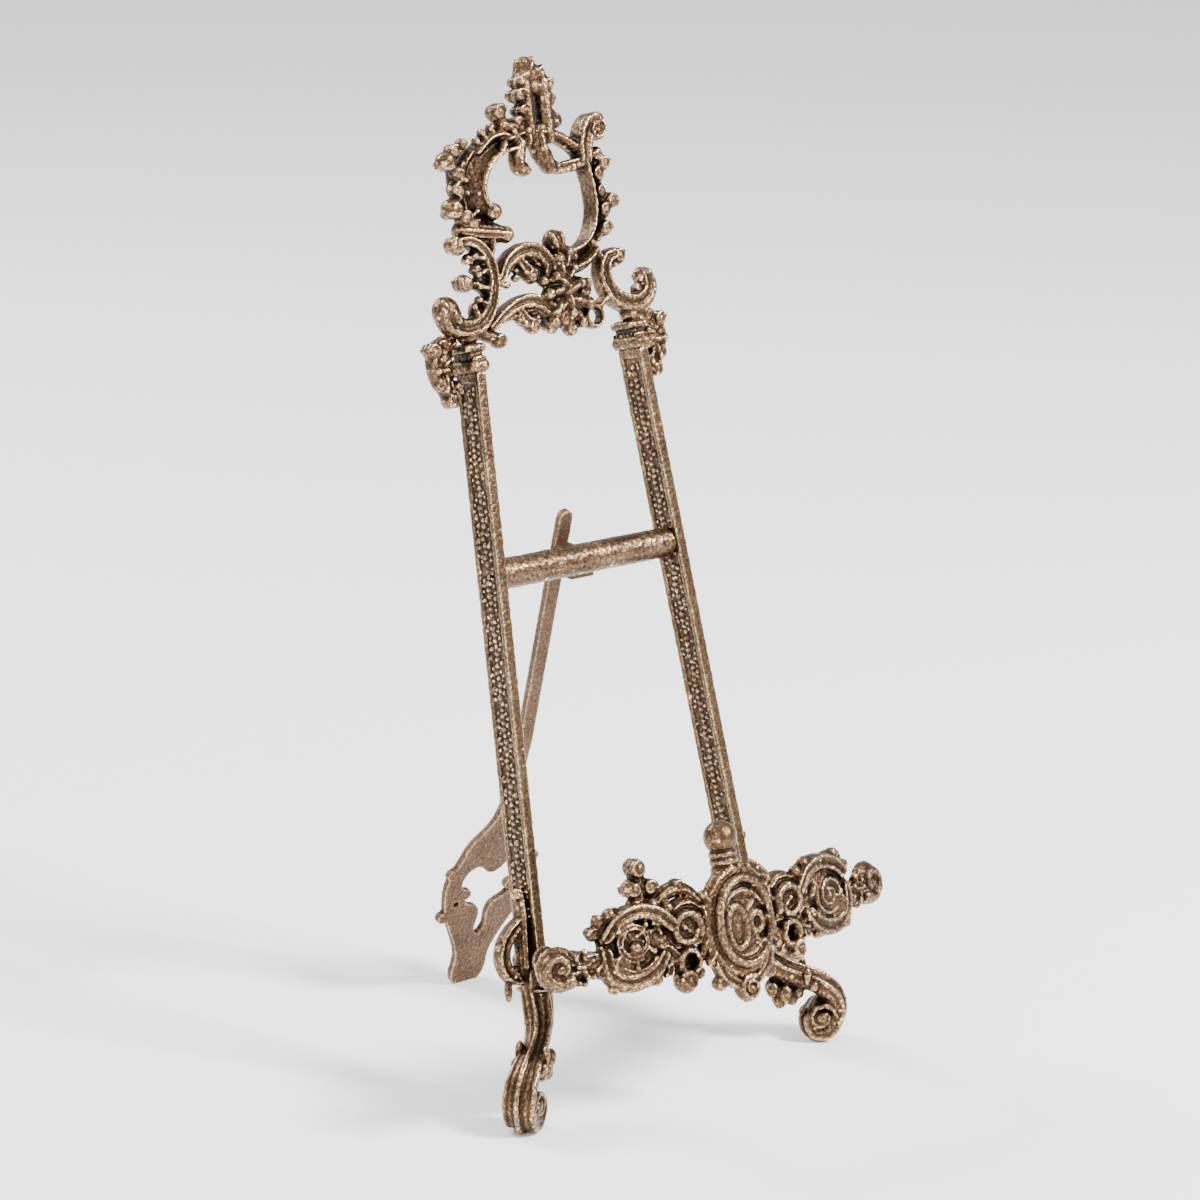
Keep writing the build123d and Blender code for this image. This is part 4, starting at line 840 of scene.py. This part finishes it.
def ledge_finial():
    """The knobbed spray that stands on the left half of the ledge."""
    x = -34.5
    stalk = [
        (-34, 66.8, 2.3), (-30, 67.2, 2.4), (-26.4, 69.2, 2.6), (-21.4, 70.2, 2.7), (-17, 68.4, 2.3),
        (-13.8, 65.2, 2.0),
    ]
    solids = [
        band([(x - 1, 65.6, 3.0), (x, 73, 3.0), (x, 78, 2.6)], RIDGE, -3.8, 1.2),
        band(stalk, RIDGE, -3.0, 1.6),
    ]
    knobs = [
        (x, 79.2, 3.6, 90), (x - 2.7, 73.6, 3.4, 180), (x + 3.2, 72.6, 3.4, 0),
        (x - 2.6, 68.2, 2.8, 200), (-26.8, 67.6, 2.6, 90), (-20.6, 70.8, 2.7, 60),
    ]
    for cx, ct, r, start in knobs:
        solids += knob(cx, ct, r, -1.2, start)
    make("left_ledge_finial", in_frame(on_rail(-27, solids)), voxel=0.36)


def medallion():
    """The oval drum with a double rim, an oval strap, a small round loop and leaf straps."""
    def oval_rows(x, t, rx, rt, thick, count=24):
        turns = np.linspace(0, math.tau, count + 1)
        return [(x + rx * math.cos(a), t + rt * math.sin(a), thick) for a in turns]

    solids = [
        lump(0, 55.5, 0.4, 13.8, 17.0, 3.2),
        lump(0, 55.5, 2.4, 10.2, 13.4, 2.4),
        band(oval_rows(0.4, 55.5, 10.5, 13.7, 1.7), ROUND, 1.2, 6.0),
        band(oval_rows(0, 55.5, 12.8, 16.0, 2.4), ROUND, -1.8, 3.4),
        band(oval_rows(-3.2, 54.0, 3.9, 6.8, 1.6), ROUND, 1.8, 5.7),
        band(oval_rows(4.8, 54.4, 2.5, 2.9, 1.6, 12), ROUND, 1.8, 5.7),
        lump(1.0, 54.6, 3.2, 2.4, 2.2, 2.2),
        lump(8.6, 54.6, 3.2, 2.4, 1.8, 2.2),
        band(
            [(-7.6, 60.8, 1.3), (-4.4, 64.2, 1.8), (0.6, 65.2, 2.0), (5.2, 63.4, 1.8), (8.0, 59.6, 1.3)],
            RIDGE, 1.8, 5.4,
        ),
        band([(-6.6, 47.4, 1.2), (-2.6, 44.8, 1.7), (2.6, 44.8, 1.8), (6.8, 47.8, 1.4)], RIDGE, 1.8, 5.2),
        lump(-3.2, 54.0, 2.8, 1.3, 3.6, 2.0),
    ]
    solids += leaf(3.6, 60.0, 3.2, 3.2, 1.5, 1.7, 215)
    solids += leaf(4.6, 49.0, 3.2, 3.2, 1.6, 1.7, 120)
    solids += cluster(0, 70.0, 1.2, 5.6, 2.2, 9, 2.1, 51, 1.8)
    solids += cluster(0, 41.6, 1.2, 5.2, 2.0, 9, 2.0, 52, 1.8)
    for x, t, turn in ((-11.6, 64.6, 130), (11.6, 64.6, 50), (-12.4, 47.2, 225), (12.4, 47.2, 315)):
        solids += leaf(x, t, 1.0, 3.6, 2.0, 2.4, turn)
    solids = at_rail(solids)
    make("medallion", in_frame(solids), voxel=0.34)


def rosette():
    """The rolled rosette under the medallion, with a leaf strap to each side."""
    solids = volute(0, 33.6, 1.6, 5.5, 60, 1.8, 1, 2.7, 0.24)
    for flip in (1, -1):
        strap = [(flip * 4.6, 36, 1.8), (flip * 8.4, 39, 2.1), (flip * 10.6, 43.4, 2.1)]
        solids.append(band(strap, CHANNEL, -1.4, 3.4))
        solids += knob(flip * 10.4, 37.0, 2.5, 0.4, 90)
        solids += leaf(flip * 5.6, 40.0, 1.2, 3.4, 1.7, 1.9, 90 - flip * 30)
    solids = at_rail(solids)
    make("medallion_rosette", in_frame(solids), voxel=0.34)


def ball_finial():
    """The smooth ball on its ringed stem, with two rows of petals low on the stem."""
    front = 42.6
    petals = []
    for i in range(6):
        a = math.tau * i / 6
        petals.append(lump(3.4 * math.cos(a), 70.4, front + 3.4 * math.sin(a), 1.7, 2.6, 1.7))
        petals.append(lump(2.7 * math.cos(a + 0.5), 75.0, front + 2.7 * math.sin(a + 0.5), 1.3, 2.0, 1.3))
    make(
        "ball_finial", [cad_solid("ball_finial")] + in_frame(petals), BALL, voxel=0.34, relax=3,
        rough=0.09,
    )


# ---- feet and side scrolls ----
def front_foot(node, side):
    """A fluted knee that runs down into a rolled scroll."""
    splay = math.radians(60)
    outward = np.array([math.sin(splay), -math.cos(splay), 0])
    sideways = np.array([math.cos(splay), math.sin(splay), 0])
    up = np.array([0, 0, 1.0])
    contact = np.array([65.0, FRAME_Y - 2.4, 0])
    stations = smooth_rows([
        (-25.8, 6.6, 41.5, 4.9, 4.9), (-25.4, 5.6, 36.5, 5.1, 4.8), (-22.4, 3.8, 30.4, 4.8, 4.6),
        (-16.4, 1.9, 25.4, 4.0, 4.3), (-9.4, 0.7, 22.6, 3.7, 4.1), (-3.0, 0.1, 20.4, 4.5, 3.9),
        (2.2, 0, 15.8, 5.3, 3.8), (3.6, 0, 9.8, 5.4, 3.7), (1.0, 0, 4.2, 5.3, 3.6),
        (-3.4, 0, 3.8, 5.0, 2.9), (-5.6, 0, 7.8, 4.8, 2.2), (-3.6, 0, 11.4, 4.6, 1.8),
    ])
    a, b, z, wide, deep = stations.T
    centres = contact + np.outer(a, outward) + np.outer(b, sideways) + np.outer(z, up)
    ahead = np.gradient(centres, axis=0)
    ahead /= np.linalg.norm(ahead, axis=1)[:, None]
    sides = sideways - ahead * (ahead @ sideways)[:, None]
    sides /= np.linalg.norm(sides, axis=1)[:, None]
    fronts = np.cross(sides, ahead)
    fluted = []
    for angle in np.linspace(0, math.tau, 40, endpoint=False):
        u, v = math.cos(angle), math.sin(angle)
        flute = 1.0 - 0.13 * (0.5 - 0.5 * math.cos(3.4 * math.pi * u)) * max(0.0, abs(v)) ** 0.6
        fluted.append((u, v * flute))
    solids = [sweep(centres, sides, fronts, wide * 0.96, deep * 0.98, fluted)]
    outer = -1.0 if (fronts[len(fronts) // 2] @ up) < 0 else 1.0
    for shift in (-0.86, 0.86, 0.0):
        reach = slice(4, len(centres) - 4)
        raise_by = 0.97 if shift == 0 else 0.5
        line = centres[reach] + sides[reach] * (wide[reach] * shift)[:, None]
        line = line + fronts[reach] * (deep[reach] * raise_by * outer)[:, None]
        size = np.linspace(0.7, 1.15, len(line))
        solids.append(sweep(line, sides[reach], fronts[reach], size, size, ROUND))
    eye = contact + outward * -1.4 + up * 9.0

    def on_axle(solid, along):
        verts, faces = solid
        flat = eye + np.outer(verts[:, 0], outward) + np.outer(verts[:, 1], up)
        return flat + np.outer(verts[:, 2] + along, sideways), faces

    for layer in (4.6, -4.6):
        rows = np.array(spiral_rows(0, 0, 5.2, 1.25, 0, 1.0, 1, 0.3))
        line = eye + np.outer(rows[:, 0], outward) + np.outer(rows[:, 1], up) + sideways * layer
        thick = rows[:, 2]
        tangent = np.gradient(line, axis=0)
        tangent /= np.linalg.norm(tangent, axis=1)[:, None]
        level = np.tile(sideways, (len(line), 1))
        solids.append(sweep(line, np.cross(tangent, level), level, thick, thick * 0.9, ROUND))
        solids.append(on_axle(lump(0, 0, 0, 2.3, 2.3, 1.5), layer * 0.9))
    solids.append(on_axle(lump(0, 0, 0, 3.6, 3.6, 4.4), 0.0))
    tip = contact + outward * -13.8 + up * 17.2
    leaf_tips = [(0, 0, 3.0), (-2.0, -2.6, 2.2), (2.4, -1.8, 2.0), (-4.4, 1.8, 2.4), (4.6, 0.4, 1.9)]
    for reach, drop, size in leaf_tips:
        for lean in (-1.4, 1.4):
            verts, faces = lump(0, 0, 0, size, size * 1.25, size * 0.9)
            place = tip + outward * reach + up * drop + sideways * lean
            solids.append((verts[:, [0, 2, 1]] + place, faces))
    for flank, size in ((4.6, 1.0), (-4.4, 0.8)):
        verts, faces = lump(0, 0, 0, 1.7 * size, 1.6 * size, 4.0 * size)
        solids.append((verts + contact + outward * -7.0 + up * 24.2 + sideways * flank, faces))
        verts, faces = lump(0, 0, 0, 2.0 * size, 1.8 * size, 2.4 * size)
        solids.append((verts + contact + outward * -4.6 + up * 20.6 + sideways * flank * 1.05, faces))
    solids += in_frame(foot_collar())
    if side < 0:
        solids = mirrored(solids)
    make(node, solids, voxel=0.4, relax=2)


def foot_collar():
    """The banded collar where a foot takes the upright's lower end."""
    x = inner_edge(43) + BAR_WIDTH / 2
    rows = [(x - 2.6, 41.6, 1.3), (x, 41.4, 1.5), (x + 2.6, 41.6, 1.3)]
    collar = [band(rows, ROUND, BAR_MIDDLE - 7.2, BAR_MIDDLE + 7.2)]
    collar += [lump(x, 38.2, BAR_MIDDLE, 4.0, 2.2, 5.4), lump(x, 43.6, BAR_MIDDLE + 6.0, 2.8, 1.4, 1.4)]
    return collar


def ear_scroll(node, side):
    """The looped scroll outside the lower end of an upright."""
    loop = [
        (48.6, 63.4, 2.0), (52.0, 61.2, 2.2), (55.6, 57.4, 2.3), (56.8, 52.4, 2.4), (55.0, 48.0, 2.5),
        (51, 46.4, 2.8),
    ]
    strip = [(47.4, 72.2, 1.5), (47.4, 66, 1.7), (48.6, 58, 1.8), (49.4, 50, 2.0)]
    solids = [
        band(loop, CHANNEL, -9.2, -3.8),
        band(strip, RIDGE, -8.6, -2.6),
        lump(56.4, 43.0, -6.5, 1.4, 4.0, 1.4, 8),
    ]
    solids += knob(48.4, 73, 2.0, -5, 90)
    solids += knob(53.0, 49.0, 1.9, -6, 200)
    solids += knob(57.6, 57.0, 1.6, -6, 0)
    solids += cluster(52.6, 47.8, -5.6, 3.0, 2.0, 6, 1.7, 31, 1.6)
    make(node, in_frame(solids if side > 0 else mirrored(solids)), voxel=0.36)


def ledge_arm(node, side):
    """The arm's CAD shape with four turned rings."""
    x = inner_edge(50.5) + BAR_WIDTH / 2
    trim = []
    rows = [(x + 4.2 * math.cos(a), 50.5 + 4.2 * math.sin(a), 0.6) for a in np.linspace(0, math.tau, 13)]
    for n in (6.0, 9.0, 30.0, 33.5):
        trim.append(band(rows, ROUND, n - 0.8, n + 0.8))
    trim = trim if side > 0 else mirrored(trim)
    make(node, [cad_solid(node)] + in_frame(trim), voxel=0.4, relax=2)


def recast_plain():
    """The plain castings keep their CAD shape, with rounded edges and an uneven skin.

    The lug and the small fasteners stay as they are in the CAD and are only painted.
    """
    make("crossbar", [cad_solid("crossbar")], BAR, voxel=0.42, relax=2, rough=0.16)
    make("ledge_rail", [cad_solid("ledge_rail")], voxel=0.42, relax=2)
    make("rear_leg", [cad_solid("rear_leg")], LEG, voxel=0.3, relax=1, rough=0.1)
    make("rear_foot", [cad_solid("rear_foot")], LEG, voxel=0.32, relax=1, rough=0.14)
    for node in ("crossbar_screws", "arm_screws", "hinge_pin", "rear_foot_rivets"):
        paint(node, FASTENER)
    paint("hinge_lug", FASTENER)


def paint(node, material):
    """Gives a small CAD piece that stays in view its material."""
    mesh = frame["nodes"][node].data
    mesh.materials.clear()
    mesh.materials.append(material)


# ---- the scene ----
def stage_and_light():
    """A pale floor, an even overhead light and three soft lamps round the easel."""
    floor = bpy.data.meshes.new("studio_floor")
    wide = 24.0
    floor.from_pydata(
        [(-wide, -wide, 0), (wide, -wide, 0), (wide, wide, 0), (-wide, wide, 0)], [], [(0, 1, 2, 3)],
    )
    plane = bpy.data.objects.new("studio_floor", floor)
    bpy.context.scene.collection.objects.link(plane)
    pale = bpy.data.materials.new("pale_floor")
    pale.use_nodes = True
    pale.node_tree.nodes["Principled BSDF"].inputs["Base Color"].default_value = (0.94, 0.94, 0.94, 1)
    pale.node_tree.nodes["Principled BSDF"].inputs["Roughness"].default_value = 0.8
    pale.node_tree.nodes["Principled BSDF"].inputs["Specular IOR Level"].default_value = 0.0
    floor.materials.append(pale)
    world = bpy.context.scene.world or bpy.data.worlds.new("studio")
    bpy.context.scene.world = world
    world.use_nodes = True
    nodes, links = world.node_tree.nodes, world.node_tree.links
    height = nodes.new("ShaderNodeSeparateXYZ")
    links.new(nodes.new("ShaderNodeTexCoord").outputs["Generated"], height.inputs[0])
    sky = nodes.new("ShaderNodeValToRGB")
    sky.color_ramp.elements[0].position = 0.0
    sky.color_ramp.elements[0].color = (0.88, 0.88, 0.88, 1)
    sky.color_ramp.elements.new(0.06).color = (0.52, 0.52, 0.53, 1)
    sky.color_ramp.elements[-1].position = 0.7
    sky.color_ramp.elements[-1].color = (1, 1, 1, 1)
    links.new(height.outputs["Z"], sky.inputs["Fac"])
    links.new(sky.outputs["Color"], nodes["Background"].inputs["Color"])
    nodes["Background"].inputs["Strength"].default_value = 1.0
    overhead = bpy.data.lights.new("overhead", "SUN")
    overhead.energy = 0.85
    overhead.angle = math.radians(90)
    bpy.context.scene.collection.objects.link(bpy.data.objects.new("overhead", overhead))
    middle = Vector((0, 0, 0.17))
    for name, place, size, power in (
        ("key", (0.75, -1.25, 1.35), 0.4, 92),
        ("fill", (-1.6, -0.8, 0.8), 0.9, 16),
        ("rim", (-0.6, 1.5, 1.4), 0.6, 42),
    ):
        lamp = bpy.data.lights.new(name, "AREA")
        lamp.size = size
        lamp.energy = power
        holder = bpy.data.objects.new(name, lamp)
        holder.location = place
        holder.rotation_euler = (middle - Vector(place)).to_track_quat("-Z", "Y").to_euler()
        bpy.context.scene.collection.objects.link(holder)


def camera():
    """A long lens at the front left, slightly above the easel."""
    azimuth, elevation, distance = math.radians(39.87), math.radians(15.575), 1.208
    target = Vector((-6.1, FRAME_Y + 34.8, 158.4)) * MM
    level = math.cos(elevation)
    towards = Vector((-math.sin(azimuth) * level, -math.cos(azimuth) * level, math.sin(elevation)))
    lens = bpy.data.cameras.new("camera")
    lens.sensor_width = 36.0
    lens.lens = 111.4
    holder = bpy.data.objects.new("camera", lens)
    holder.location = target + towards * distance
    roll = Matrix.Rotation(math.radians(0.95), 4, "Z")
    aim = (-towards).to_track_quat("-Z", "Y").to_matrix().to_4x4()
    holder.rotation_euler = (aim @ roll).to_euler()
    bpy.context.scene.collection.objects.link(holder)
    bpy.context.scene.camera = holder


crest_cartouche()
crest_finial()
crest_left_scroll()
crest_right_scroll()
crest_foliage()
medallion()
rosette()
ball_finial()
ledge_finial()
for prefix, side in (("left", -1), ("right", 1)):
    leaf_drop(f"{prefix}_leaf_drop", side)
    upright(f"{prefix}_upright", side)
    capital(f"{prefix}_capital", side)
    ledge_wing(f"{prefix}_ledge_scrolls", side)
    ledge_arm(f"{prefix}_ledge_arm", side)
    front_foot(f"{prefix}_front_foot", side)
    ear_scroll(f"{prefix}_ear_scroll", side)
recast_plain()
stage_and_light()
camera()
